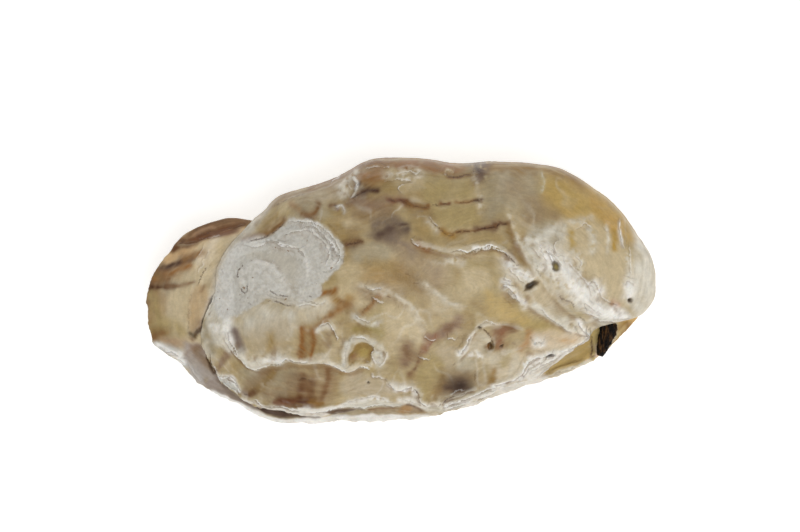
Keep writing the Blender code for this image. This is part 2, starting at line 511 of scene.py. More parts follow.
def dome(angle, share):
    """Rise of the upper valve, from 1 at the crown to 0 at the margin."""
    full = 0.5 + 0.5 * np.sin((0.5 * np.cos(angle) + 0.87 * np.sin(angle)) * math.pi / 2)
    return np.clip(1 - share ** (2.1 + 0.9 * full), 0, 1) ** (1.15 - 0.55 * full)


def ragged(angle, share, seed):
    """Small teeth of a margin, in millimetres outwards. They are largest along the front."""
    ring = outwards(angle) * (50, 34)
    size = 0.12 + 0.34 * smoothstep(0.2, -0.5, np.sin(angle) + 0.3 * np.cos(angle))
    torn = rough(ring, 5.5, seed, 2) + 0.7 * np.abs(rough(ring, 1.9, seed + 9, 2)) - 0.2
    return size * torn * smoothstep(0.93, 1.0, share)


def rounded_lip(angle, radius, share, seed):
    """How far the outermost rows step outwards to round the lip, and what part of the way down they are."""
    turn = np.clip((radius - LIP_START) / (1 - LIP_START), 0, 1) * math.pi
    step = np.sin(turn) * 0.2 + ragged(angle, share, seed) - 0.15
    return outwards(angle) * step[:, None], (1 - np.cos(turn)) / 2


def feather(angle):
    """1 along the left, where the upper valve thins out onto the lobe, and 0 where its lip is thick."""
    return smoothstep(-0.6, -0.8, np.cos(angle))


# %% Form of the upper valve
UPPER_CELLS = (424, 222)
UPPER_UNDER_CELLS = (72, 40)


def upper_outside(corners):
    """The outside of the upper valve and its rounded lip."""
    angle, radius = disc(corners)
    t = np.clip(radius / LIP_START, 0, 1)
    share = 0.5 * t + 0.5 * np.sin(t * math.pi / 2)
    plan = spread(UPPER_MARGIN, angle, share)
    lip = LIP_THICKNESS * (1 - 0.75 * feather(angle))
    foot = seam(plan) + SEAM_GAP * (1 - 0.9 * feather(angle)) + lip
    height = foot + (CROWN - foot) * dome(angle, share)
    step, down = rounded_lip(angle, radius, share, 3)
    return np.column_stack([plan + step, height - down * lip])


def upper_inside(corners):
    """The hollow inside of the upper valve."""
    angle, radius = disc(corners)
    share = radius * 0.98
    plan = spread(UPPER_MARGIN, angle, share)
    foot = seam(plan) + SEAM_GAP * (1 - 0.9 * feather(angle))
    height = foot + (CROWN - UPPER_WALL - foot) * dome(angle, np.minimum(share / 0.93, 1.0))
    return np.column_stack([plan, height])


upper_bm, corners, upper_top = blank(UPPER_CELLS, UPPER_UNDER_CELLS)
upper_form = np.vstack([upper_outside(corners[:upper_top]), upper_inside(corners[upper_top:])])
upper_normals = normals_of(upper_bm, upper_form)
print("upper valve:", len(upper_form), "points, plain size", np.ptp(upper_form, axis=0).round(1), "mm")

# %% [markdown]
# ## The upper valve: its relief
#
# The surface is read from the hinge end (right) to the newest growth (left). The early shell is a smooth
# rounded disc; after it come the back flank with its fine lines, the lumpy middle with its bored holes, a
# worn chalky patch with terraces like a contour map, and ruffled sheet edges along the front.

# %% Big lumps and small ones
plan = upper_form[:upper_top, :2]
bent = bend(bend(plan, 5.0, 0.32, 51), 1.4, 0.13, 53)
crinkled = bend(bent, 0.8, 0.13, 57)
angle, radius = polar(plan)
front = smoothstep(2, -14, plan[:, 1] + 0.12 * plan[:, 0])
lift = (0.20 + 0.18 * front) * rough(plan, 14, 11, 2)
lift += (0.10 + 0.12 * front) * rough(plan, 6.5, 21, 2)
lift += (0.025 + 0.045 * front) * rough(bent, 2.4, 31, 2)

# %% [markdown]
# The sheet edges are the strongest lines on the valve. Each is drawn with its high side on the left of the
# way that its points run, and says how high it is, how far it climbs behind, and how much its climb shines:
# a pale pearl that is partly the sheet's own colour and partly painted sheen.

# %% Sheet edges
EARLY_DISC = [22.6, 17.6, 23.7, 15, 25.4, 10.2, 27.4, 5.9, 30.2, 1.6, 33.4, -1.7, 37.3, -5.1, 41.2, -7.7]
CRACKED_EDGE = [1.5, 11.3, 4.3, 9.6, 8.6, 8.5, 12.9, 8.1, 15.1, 8.7, 16.2, 9.1, 19, 9.5, 21.2, 8.8,
    23.1, 7.4, 24.8, 5.2, 27, 3.7, 28.5, 2.2]
FRONT_RUFFLE = [-37.4, -11.2, -35.7, -13.3, -34, -14.9, -32.4, -16.5, -31, -17.2, -29.6, -16.6, -28.3, -16,
    -26.8, -16, -25.3, -15.4, -23.8, -14.9, -21.9, -15.3, -19.5, -15.3, -17.1, -15.1, -14.9, -15.7,
    -13, -16.7, -11.1, -17.1, -9.3, -16.5, -7.8, -16.8, -6.1, -17.4]
FRONT_STEP = [-3.7, -19.4, -2, -20.5, -0.3, -21, 2.2, -20.7, 3.6, -22.8, 4.5, -23.9, 6.7, -25.2]
RIGHT_RUFFLE = [18.3, -20.9, 19.4, -20.3, 22, -19.3, 24.8, -18.5, 26.2, -16.8, 27, -15.3, 28.5, -14.2,
    30.5, -13.5, 32.7, -13.9, 35.6, -12.9, 38.4, -11.8, 40.3, -10.3]
LEFT_LIP = [-41.7, -13.3, -40.4, -16.8, -39.4, -18.3, -36.8, -18.6, -35.1, -20.2, -34.6, -22.2,
    -33.3, -23.4, -31.6, -24.1, -29.4, -25, -25.9, -25.5, -23.4, -26.4]
SHEET_EDGES = [
    (EARLY_DISC, 0.3, 4, 0),
    (CRACKED_EDGE, 0.6, 2.6, 0.25),
    (FRONT_RUFFLE, 1.1, 3.2, 0.4),
    (FRONT_STEP, 0.8, 2.6, 0.1),
    (RIGHT_RUFFLE, 0.7, 2.6, 0.5),
    (LEFT_LIP, 0.5, 2.2, 0.3),
    ([27, -2.1, 30, -4.5, 32.6, -6.4, 35.6, -8.1, 39.1, -9.2, 42.1, -9.4], 0.5, 2.2, 0.4),
    ([7.6, -25.4, 9, -24.1, 10.5, -23.3, 12.7, -22.4, 14.9, -21.4, 17, -21.3], 0.45, 1.6, 0.2),
    ([9, -25.4, 11.6, -23.9, 14.4, -22.8, 17.5, -22.2], 0.3, 1, 0.3),
    ([11.6, -15.7, 14, -12.5, 15.1, -9.2, 16.6, -7.8, 18.7, -7.1, 22.6, -7.4, 27.4, -8.6], 0.35, 2, 0.3),
    ([-12.1, 27.5, -13.7, 23.6, -15.2, 22.5, -18.8, 21.2, -22.7, 20.3, -25.5, 19.2, -27.7, 18.2], 0.25, 2,
      0),
    ([-40.9, -2.1, -40, 1.8, -38.9, 5.2, -37.2, 8.7, -34.8, 11.3], 0.25, 2.5, 0),
    ([-21.9, -0.4, -20.1, 0.3, -17.5, 1.4, -14.9, 2.4], 0.2, 1.2, 0.3),
    ([4.1, 2.2, 6.7, 0.3, 9.5, -1.7, 11.8, -3, 15.1, -3.6], 0.2, 1.2, 0.1),
    ([-2.4, -0.4, 0.2, -1.9, 2.3, -3.8, 4.9, -6.8, 7.1, -9.7], 0.2, 1.2, 0.1),
    ([-10, 1.4, -7.6, 0.5, -4.6, -0.4, -1.6, -1.2], 0.2, 1, 0.1),
    ([2.8, 15.4, 4.9, 15.8, 7.1, 14.5, 8.4, 13.2], 0.12, 0.8, 0.2),
    ([-10.6, 24.3, -9.3, 23, -9.3, 21.4, -10.6, 19.9], 0.3, 0.8, 0.6),
    ([-17.5, -7.3, -15.8, -6.2, -14.5, -7.7, -13.4, -10.3], 0.2, 0.8, 0.3),
    ([20.9, -13.5, 23.5, -13.1, 26.5, -11.6, 30, -10.7], 0.25, 1.1, 0.1),
    ([22.2, 1.6, 23.9, -0.6, 26.5, -2.5], 0.3, 1, 0.5),
    ([25.7, -18.1, 27, -15.3, 28.9, -13.8, 31.7, -13.1], 0.3, 0.8, 0.6),
    ([26.5, -18.9, 28.3, -16.4, 31.3, -14.6, 34.3, -13.5], 0.25, 0.8, 0.5),
]
edges = []
for seed, (path, height, behind, shine) in enumerate(SHEET_EDGES):
    mask = ledge(bent, path, behind, 0.35)
    lift += mask * height * (0.85 + 0.45 * noise(plan, 5.0, 501 + seed))
    edges.append((mask, shine))
print("sheet edges:", len(edges))

# %% [markdown]
# The broken edges of the sheets show as white lines, thinner than the points of the surface can carry:
# partly the broken edges' own white and partly painted highlight, with painted shade drawn on their low
# side. So they are only listed here, each with a strength, and the finish draws them crisply later.

# %% Thin white lines
WHITE_LINES = [
    # The cracked edge in the middle, the front ruffle and the torn front lip.
    ([1.9, 11.1, 2.8, 10.2, 3.8, 9.5], 0.8),
    ([9.9, 8.3, 12.3, 8.7, 14.4, 8.2, 16.2, 9.1, 19.2, 9.6, 21.3, 8.8], 1),
    ([14.9, 7.8, 17, 8.7, 19.6, 8.9, 22, 8.1, 23.5, 6.3], 0.7),
    ([23.1, 4.8, 24.8, 3.1, 26.5, 1.4], 0.6),
    ([-37.2, -11.4, -35.7, -13.3, -34, -14.9, -32.4, -16.5, -31, -17.2, -29.6, -16.6, -28.3, -16,
      -26.8, -16, -25.3, -15.4, -23.8, -14.9], 0.6),
    ([-28.8, -15.7, -26.8, -15.8, -25.3, -15.2, -23.8, -14.7, -21.9, -15.1, -19.5, -15.1], 1),
    ([-17.1, -15.1, -14.9, -15.7, -13, -16.7, -11.1, -17.1, -9.3, -16.5, -7.8, -16.8, -6.3, -17.4], 0.9),
    ([-37, -8.8, -36.8, -10.7, -35.7, -12.5, -34.6, -14], 0.7),
    ([-38.1, -9.9, -37.2, -11.8, -36.1, -13.3], 0.5),
    ([-34.8, 10.2, -32.7, 9.4, -30.3, 9.8, -29.2, 10.9], 0.6),
    ([-29, 10.9, -26.8, 10.6, -24.7, 9.6, -22.1, 8.9], 0.8),
    ([-34.8, -22.2, -35.7, -20.2, -36.8, -18.9, -39.8, -18.7], 1),
    ([-34.8, -23, -35.9, -21.8, -37.2, -20.9, -38.7, -19.8], 0.6),
    ([-35.5, -21.1, -36.5, -19.8, -37.8, -19.4], 0.7),
    ([-32.2, -24.1, -31.4, -24, -30.5, -24.7, -28.8, -25, -26, -25, -23.8, -25.9, -21.4, -26.1], 0.9),
    ([-41.3, -13.3, -41.1, -15.5, -40.2, -17.6, -39.4, -18.9], 0.6),
    ([-21.4, -26.3, -17.5, -26.5, -14.5, -25.6, -11.1, -25.2, -8.5, -25.6, -6.3, -25, -3.3, -24.8,
      -0.9, -25, 0.8, -24.1], 0.8),
    ([-6.3, -17.6, -6.1, -18.7, -4.4, -18.9, -2.9, -19.6], 0.7),
    ([-2.9, -19.6, -1.6, -20.8, -0.3, -21.2, 1.9, -20.8, 2.5, -21.1], 1),
    ([3.8, -22.8, 4.3, -23.9, 5.8, -24.8], 1),
    ([-11.9, -24.1, -8.9, -23.3, -5.9, -22.6, -2.9, -23.3], 0.5),
    ([0.6, -23.3, 2.3, -23.9, 4.5, -24.8], 0.5),
]
print("thin white lines so far:", len(WHITE_LINES))

# %% More thin white lines: the front right
WHITE_LINES += [
    ([12.5, -13.5, 13.3, -12.7, 14.2, -11.4, 14.9, -9.4], 1),
    ([15.7, -7.9, 17, -7.1, 18.7, -6.5, 20.9, -7.3], 0.5),
    ([3.2, -13.8, 4.5, -14.6, 6.4, -15.1], 0.8),
    ([4.9, -9.9, 6.2, -10.7, 7.7, -10.5], 0.6),
    ([10.1, -10.5, 11, -10.3, 11.8, -10.7], 0.7),
    ([19.6, -21.3, 21.3, -20.1, 23.9, -19.4, 25.9, -18.3], 1),
    ([8.4, -25.5, 12.7, -24.1, 15.9, -22.8, 18.5, -21.6, 21.3, -20.7], 0.8),
    ([9.7, -25.7, 13.8, -24.6, 17, -23.5, 19.2, -22.5, 22.4, -21.5], 0.8),
    ([7.5, -24.6, 9.7, -23, 11.8, -21.8, 14, -21.2], 0.3),
    ([25.4, -18.7, 26.5, -16.4, 27.8, -14.5, 31.3, -13.2], 1),
    ([26.1, -19.4, 27.4, -16.8, 29.5, -15.5, 31.5, -14.4, 33.7, -13.7], 0.9),
    ([27.8, -17.6, 30, -16.4, 32.6, -15.1, 35.6, -13.3], 0.7),
    ([28.5, -15.9, 30, -14.8, 31.3, -14.4], 0.6),
    ([34.3, -13.5, 36.9, -12.5, 39.3, -11, 41.2, -9.4], 0.8),
    ([29.1, -18.9, 31.3, -17, 34.3, -15.3], 0.6),
    ([28.5, -11, 29.3, -10.4, 30.2, -11], 0.8),
]
print("thin white lines so far:", len(WHITE_LINES))

# %% More thin white lines: the early disc and the hinge end
WHITE_LINES += [
    ([29.5, -3.4, 32.1, -6, 34.7, -7.9, 36.9, -9.2], 0.5),
    ([38, -6.6, 38.8, -8.1, 40.3, -9.9], 1),
    ([39.9, -9, 40.8, -9.9], 1),
    ([21.6, 0.9, 22.9, 0.7, 23.9, -0.4, 25.2, -2.3], 0.8),
    ([22.6, -0.4, 23.9, -1.7, 25.7, -2.5], 0.6),
    ([22, 2.7, 23.5, 2], 0.6),
    ([30.8, 8.7, 31.9, 7.4, 32.6, 6.1], 0.9),
    ([31.7, 8.3, 33.4, 7, 34.7, 5.2], 0.6),
    ([27.8, 9.4, 29.1, 8.3, 30, 6.8], 0.6),
    ([37.5, 7.4, 38.6, 6.1, 38.2, 4.8], 0.6),
    ([35.6, 6.1, 38, 3.5, 39.7, 1.4, 41.2, -1.2], 0.6),
    ([39.9, 1.1, 41.2, 1.8, 42.7, 0.1], 0.8),
    ([42.7, 0.1, 43.6, -1.7, 45.7, -2.7], 0.5),
    ([39.3, -2.1, 40.6, -3.4, 42.9, -4.5], 0.6),
    ([39.5, -4.5, 41.2, -5.1, 42.9, -5.7], 0.7),
    ([46.8, -6.6, 49.4, -6.2], 0.7),
    ([40.8, -5.6, 43.8, -6.6, 46.8, -7.1], 0.8),
    ([-24.9, 11.7, -22.5, 12.7, -20.6, 12.9, -19.1, 12.8, -18.6, 11.7, -17.1, 11, -16, 9.8, -15.6, 8.1],
      0.7),
    ([-17.1, 12.6, -15.8, 11.3, -14.5, 9.4, -13.9, 7.8, -13.2, 6.8], 0.6),
    ([-18.4, 14.8, -17.1, 13.9, -15.4, 12.2], 0.5),
    ([46.8, 15.6, 47.3, 11.7, 47.7, 8.7], 0.8),
    ([49, 10.4, 49.4, 6.1, 49.2, 3.1], 0.5),
    ([50.7, 13.9, 52.7, 9.6, 53.7, 6.1], 0.4),
    ([47.9, 1.1, 48.8, 2, 50.3, 0.9], 0.6),
    ([37.5, 13.2, 39.3, 14.5, 40.8, 13.5], 0.5),
    ([43.4, 14.3, 44.2, 13], 0.5),
    ([33.9, 11.3, 32.6, 9.6, 33.4, 7.8], 0.5),
]
print("thin white lines so far:", len(WHITE_LINES))

# %% More thin white lines: the back
WHITE_LINES += [
    ([-10.6, 23.8, -9.3, 22.5, -10, 21, -10.8, 19.7], 0.6),
    ([-10.2, 24.7, -11.3, 23, -10.6, 21.2], 0.4),
    ([-14.1, 17.6, -13, 18.2, -12.4, 16.7], 0.3),
    ([5.8, 15.6, 6.7, 14.8, 7.7, 13.5], 0.45),
    ([-3.7, 23.6, -0.7, 23.8, 2.3, 23.4], 0.6),
    ([-0.7, 25.1, 1.5, 25.6, 3.2, 24.7, 4.5, 25.6], 0.5),
    ([2.8, 23, 0.2, 23, -0.7, 21.7, 0.2, 20.6], 0.6),
    ([-7.6, 25.8, -5.4, 26.6, -2.4, 26.4], 0.4),
    ([9.5, 24.7, 10.1, 25.8, 11.2, 25.6], 0.5),
    ([-12.1, 26.8, -13.7, 24.7, -15.4, 23.4], 0.5),
    # The left part below the chalk.
    ([-17.5, -7.9, -16.5, -7.3, -15.6, -7.1, -14.7, -8.6, -13.7, -11], 0.8),
    ([-21.6, -3.4, -20.1, -3, -18.4, -3.6], 0.6),
    ([-19.9, -2.1, -18, -3, -16.2, -2.7], 0.5),
    ([-10.6, -10.3, -8.9, -9.7, -7.2, -10.5], 0.7),
    ([-6.7, -11.4, -5.9, -12.5, -6.5, -14, -5.4, -16.1], 0.8),
    ([-11.9, -15.1, -12.1, -12.9, -11.3, -11.2], 0.5),
    ([-2.9, -12.9, -3.7, -15.1, -5, -16.6], 0.5),
    ([-8, 1.4, -6.3, 0.3, -4.1, 0.3], 0.6),
    ([-6.3, -1.2, -5, -2.5, -3.7, -3], 0.5),
    ([-10, -5.6, -8.5, -6.2, -6.7, -6.6], 0.5),
]
print("thin white lines:", len(WHITE_LINES))

# %% [markdown]
# Where the top layers have worn off, the soft chalk between them shows as a pale patch. It is cut down in
# low steps, like a contour map, round a shallow hollow and a grainy lump.

# %% Terraces of the worn chalky patch
CHALK_PATCH = [-24.2, 15.3, -21.4, 15, -18.4, 14.6, -15.8, 13.2, -13.9, 11.3, -12.4, 9.4, -12.6, 7,
    -13.2, 5, -15.2, 3.1, -17.1, 1.6, -17.5, -0.8, -19.3, -2.1, -21.6, -3.2, -26, -2.7, -29.2, -2.1,
    -31.8, -3.2, -33.5, -4.3, -35.7, -5.6, -38.3, -6, -40.4, -3.4, -40, 0.1, -39.4, 3.3, -38.1, 6.5,
    -36.5, 9.4, -34.8, 10.6, -32.2, 10.2, -29.9, 11.3, -27, 13]
WORN_HOLLOW = [-30.1, 8.9, -26.8, 9.2, -24.2, 8.2, -22.5, 7.4, -21.9, 5.2, -21.9, 1.6, -22.3, -0.8,
    -23.8, -0.4, -24.9, 1.8, -27, 4, -28.8, 5.7, -31.4, 6.4, -33.5, 7.4, -32.7, 8.7]
GRAINY_LUMP = [-34.2, 5.9, -31.4, 6.3, -29.2, 5.9, -27.7, 4.5, -26, 2.4, -24.5, 0.9, -24.2, -0.5,
    -26.6, -0.8, -29.2, -0.3, -31.8, -0.6, -33.5, -0.5, -35.3, 1.6, -35.7, 4.2]
TERRACES = [
    ([-30.1, 10.6, -28.1, 10.5, -26.6, 10.1, -25.3, 9.4, -22.7, 9, -21.2, 8.1, -20.6, 7], 0.3, 0.8),
    ([-26.4, 11.3, -24.5, 12.1, -22.4, 12.6, -19.9, 12.8, -18.4, 12, -16.7, 10.6, -15.6, 8.8, -15.8, 6.8,
      -16.7, 5], 0.36, 0.8),
    ([-25.3, 14.5, -22.1, 14.8, -18.4, 14.3, -16, 13, -14.3, 10.9, -13.2, 8.7, -13.4, 6.5, -14.7, 4.8],
      0.32, 0.7),
    ([-21.9, 13.7, -18.8, 13.6, -16.7, 12.2, -15.2, 10.2, -14.5, 7.8], 0.2, 0.5),
]
chalk_patch = area(bent, CHALK_PATCH, 0.7, 0.5, 41)
hollow = area(bent, WORN_HOLLOW, 1.7)
grainy = area(bent, GRAINY_LUMP, 0.45, 0.2, 43)
terraces = [ledge(crinkled, path, behind, 0.5, 0.25) for path, height, behind in TERRACES]
lift -= 0.35 * spot(plan, (-24.5, 4.4), (7.5, 5.5), -25) + 0.25 * hollow
for mask, (path, height, behind) in zip(terraces, TERRACES):
    lift += mask * height
lift += grainy * (0.22 + 0.10 * rough(plan, 1.2, 47, 2))
lift += chalk_patch * (1 - hollow) * 0.09 * rough(plan, 2.2, 49, 3)
print("terraces:", len(terraces))

# %% Ridges and grooves
WHITE_BAND = [31.9, 6.8, 34.1, 5, 35.8, 3.1, 37.5, 0.9, 39.3, -1.2, 41.2, -3.4, 44, -5.1, 47.3, -6.2]
KNOB_RIDGE = [22.4, 1.4, 23.3, 0.3, 24.6, -1.2, 26.5, -2.5]
SHOULDER = [-8.9, 26.4, -10.6, 24.5, -11.9, 22.7, -12.6, 20.8]
RIDGES = [
    (WHITE_BAND, 0.6, 1.6),
    (KNOB_RIDGE, 0.4, 1),
    (SHOULDER, 0.4, 1.4),
    ([20.9, -13.5, 23.5, -13.1, 26.5, -11.6, 30, -10.7], 0.25, 1.1),
    ([-0.3, 19.6, 1.9, 18.9, 5.1, 17.8, 6.9, 18.5, 10.5, 18.9, 15.9, 19.4, 18.7, 19.7], -0.14, 0.5),
    ([7.3, 14.2, 10.1, 12.2, 12.9, 12.8, 17, 13.1, 19.8, 13.7, 21.3, 14.4, 23.3, 14.6], -0.14, 0.5),
    ([-33.5, 10, -29.9, 11.7, -27, 13.5, -24.7, 14.9], -0.25, 0.6),
    ([10.1, 24.9, 12.7, 24.5, 15.9, 24.7], -0.08, 0.5),
    ([22, 8.1, 23.5, 6.8, 25.2, 5], -0.3, 0.35),
    ([17.7, -8.1, 19.2, -9.9, 19.8, -11.8], -0.12, 0.35),
    ([-41.7, -5.6, -41.1, -3, -40.2, -0.8], -0.3, 0.5),
    ([2.5, -21.3, 3.4, -22.2, 3.8, -23.3], -0.5, 0.5),
]
for path, height, width in RIDGES:
    lift += height * line(bent, path, width)
print("ridges and grooves:", len(RIDGES))

# %% Lumps
LUMPS = [
    # The pearly knobs round the early disc.
    ((41, 0.5), (1.5, 1.2), 20, 0.45),
    ((43.8, -3.4), (1.5, 0.9), -20, 0.3),
    ((31.7, 10.2), (2.6, 2.2), 70, 0.22),
    ((49.2, 0.1), (0.9, 1.9), 0, 0.2),
    ((34.3, 6.1), (1.8, 2.4), 30, 0.25),
    ((36.5, 2.2), (2.2, 1.4), -40, 0.3),
    ((23.9, 4), (2.6, 1.4), -45, 0.3),
    ((24.6, -0.6), (2.3, 1.6), -50, 0.3),
    ((38.8, -8.1), (1, 1.3), 30, 0.4),
    ((13.1, -12.9), (1.6, 0.8), 40, 0.35),
    # The rest of the valve.
    ((29.5, -11.2), (1.8, 0.9), 20, 0.25),
    ((28.9, -15.1), (2, 1.4), 30, 0.3),
    ((-7.8, -9.7), (4.2, 1.5), 5, 0.25),
    ((17, -9.9), (2, 2.2), 0, 0.28),
    ((12.5, -19.4), (2.4, 2.2), 0, 0.3),
    ((-16.5, -7.9), (1.4, 1.2), 0, 0.3),
    ((-38.7, -9.4), (2.4, 3.6), 20, 0.4),
    ((-28.3, -9), (5.5, 4.2), -20, 0.4),
    ((-2.9, -7.5), (3.4, 4), 0, 0.25),
    ((-30.1, -20.2), (5, 2.4), 20, 0.3),
    ((-20.6, -20.7), (3.6, 3.4), 0, 0.3),
    ((-37.8, -16.4), (2.6, 1.6), -40, 0.4),
    ((1.9, 21.7), (4.4, 1.6), 5, 0.25),
    ((-6.3, 24), (3, 1.4), 0, 0.25),
    ((-21.9, 17.8), (5, 1.8), 20, 0.25),
    ((8.4, 6.1), (3, 1), -10, 0.2),
    ((-11.1, -2.1), (3, 2), 45, 0.2),
    ((4.1, -15.1), (3, 4), 10, 0.25),
]
for centre, sizes, turn, height in LUMPS:
    lift += height * spot(bent, centre, sizes, turn)
print("lumps:", len(LUMPS))

# %% [markdown]
# Along the sheet edges the shell flakes into white crumbs. Broad uneven strokes raise them a little, and
# later the same strokes paint them, so each says its width, its colour, its strength and sometimes how
# broken up it is.

# %% Flaky white places
WHITE_STROKES = [
    # Left of the chalk and below it.
    ([-37.4, -6.8, -37.2, -9, -36.5, -11.6], 0.8, WHITE, 0.75),
    ([-40.9, -7.7, -39.6, -8.6, -38.3, -8.1], 0.9, WHITE, 0.6, 0.1),
    ([-38.7, -10.7, -37.4, -11.6, -36.5, -12.9], 0.8, PEARL, 0.7, 0.1),
    ([-21.9, -3, -19.3, -3.2, -16.7, -3], 0.9, PEARL, 0.7, 0.1),
    ([-25.7, 14.3, -21.9, 14.8, -18, 13.9, -15.4, 12.2], 0.4, WHITE, 0.6, 0.15),
    ([-30.1, 10.9, -27, 10.4, -24.9, 9.4, -22.3, 8.9], 0.4, WHITE, 0.75, 0.1),
    ([-22.7, 12.6, -19.7, 12.8, -17.5, 11.3, -15.8, 9.1, -16, 7], 0.4, WHITE, 0.8, 0.2),
    ([-17.5, 12.8, -14.7, 10.2, -13.7, 7.8], 0.4, WHITE, 0.8, 0.15),
    ([-21, 7.4, -20.1, 5.2, -20.6, 2.2], 0.4, WHITE, 0.6, 0.15),
    ([-34, 5.9, -31.4, 6.3, -28.8, 5.7, -27, 4, -24.9, 1.4], 0.4, WHITE, 0.7, 0.25),
    ([-16.7, 6.1, -15.4, 5.2, -14.1, 6.1], 0.5, WHITE, 0.7, 0.25),
    ([-21.9, 0.9, -21.2, -1.2, -21.6, -2.7], 0.4, WHITE, 0.6, 0.25),
    # The front ruffle and the lip.
    ([-39.6, -18.7, -37.8, -18.6, -36.5, -18.9, -35.7, -20.2, -35, -21.8], 0.5, WHITE, 0.95),
    ([-34.6, -13.3, -32.7, -15.3, -31.1, -16.4], 1.2, PEARL, 0.85),
    ([-30.9, -15.3, -28.8, -14.6, -26.2, -14.7], 1.3, PEARL, 0.9),
    ([-29.2, -15.1, -26.8, -15.1, -24.9, -14.8], 0.6, WHITE, 0.7, 0.1),
    ([-24.5, -14.8, -21.9, -15.1, -19.3, -15.1, -16.7, -14.8], 0.3, PEARL, 0.6),
    ([-15.4, -15.3, -13.2, -16.1, -11.1, -16.6, -8.5, -16.1], 0.6, PEARL, 0.75),
    ([-2, -20.5, 0.2, -21.2, 1.9, -21.1, 3, -22.4], 0.9, IVORY, 0.9),
    ([-0.7, -21.1, 1, -21.5], 0.8, WHITE, 0.7),
    ([-11.9, -24.7, -8.9, -23.7, -5.9, -23, -2.9, -23.5], 0.6, WHITE, 0.8, 0.05),
    ([-0.3, -23.5, 2.3, -24.1, 4.9, -24.8, 7.5, -25], 0.9, IVORY, 0.8),
    ([-20.6, -25.9, -17.5, -26.1, -14.9, -25.4], 0.7, WHITE, 0.9),
    ([4.1, -24.6, 6.7, -25.4, 9.2, -25.6], 0.7, PEARL, 0.8),
]
print("flaky places so far:", len(WHITE_STROKES))

# %% More flaky places: the small pale tongue and the worn ring
WHITE_STROKES += [
    ([-18, -8.6, -16.2, -7.5, -14.9, -8.1], 0.6, PEARL, 0.8),
    ([-11.9, -15.3, -12.1, -13.3, -11.5, -11.6], 0.85, BONE, 0.95),
    ([-10.6, -10.5, -8.9, -10, -7.2, -10.4, -5.9, -11.4], 0.6, BONE, 0.7),
    ([-5.4, -13.3, -4.4, -14, -5.2, -15.5], 1.2, BONE, 1),
    ([-5.4, -11.8, -3.7, -12.7, -3.1, -14], 0.6, LINEN, 0.55),
    ([-10.6, -15.9, -8, -16.1, -5.9, -16.4], 0.7, CREAM, 0.7),
    ([-9.8, -5.8, -7.6, -6.8, -5.4, -6.8], 1, BONE, 0.8, 0.1),
    # The middle.
    ([9.9, 6.5, 11.6, 6.3, 12.7, 5.7], 0.9, PEARL, 0.6, 0.1),
    ([14.9, 8.9, 17, 9.3, 19.2, 9.4], 0.35, WHITE, 0.9),
    ([4.9, 1.4, 7.5, -0.6, 9.7, -2.3, 12.7, -3.6], 0.8, LINEN, 0.7),
    ([-8.5, 1.4, -5.4, 0.3, -2, -0.8, 0.6, -2.5, 2.8, -5.1, 4.9, -8.1], 0.8, LINEN, 0.65),
    ([5.8, 15, 6.9, 13.7, 7.9, 12.6], 0.7, LINEN, 0.5),
    # The shoulder at the back.
    (SHOULDER, 1.3, BONE, 0.8, 0.1),
    ([-10.2, 24.3, -9.1, 22.7, -9.8, 21.2], 0.35, WHITE, 0.8, 0.1),
    ([-14.1, 17.6, -13, 18, -12.4, 16.7], 0.5, CHALK, 0.7, 0.1),
    ([-13.2, 22.1, -11.9, 21.2], 1, LINEN, 0.5),
    ([-3.3, 24.7, -1.1, 24.9, 1, 24.5], 0.8, LINEN, 0.6, 0.3),
    ([-0.3, 25.8, 2.3, 26, 4.5, 25.1], 0.8, LINEN, 0.6, 0.3),
    ([0.6, 23.8, 2.8, 23.6, 4.1, 24.3], 0.7, LINEN, 0.6, 0.35),
    ([15.9, 24.3, 16.2, 21.7, 16.8, 19.5, 17, 16.5], 0.9, OAT, 0.5, 0.2),
    ([9.5, 25.1, 10.1, 25.8, 11.4, 25.6], 0.4, WHEAT, 0.6),
]
print("flaky places so far:", len(WHITE_STROKES))

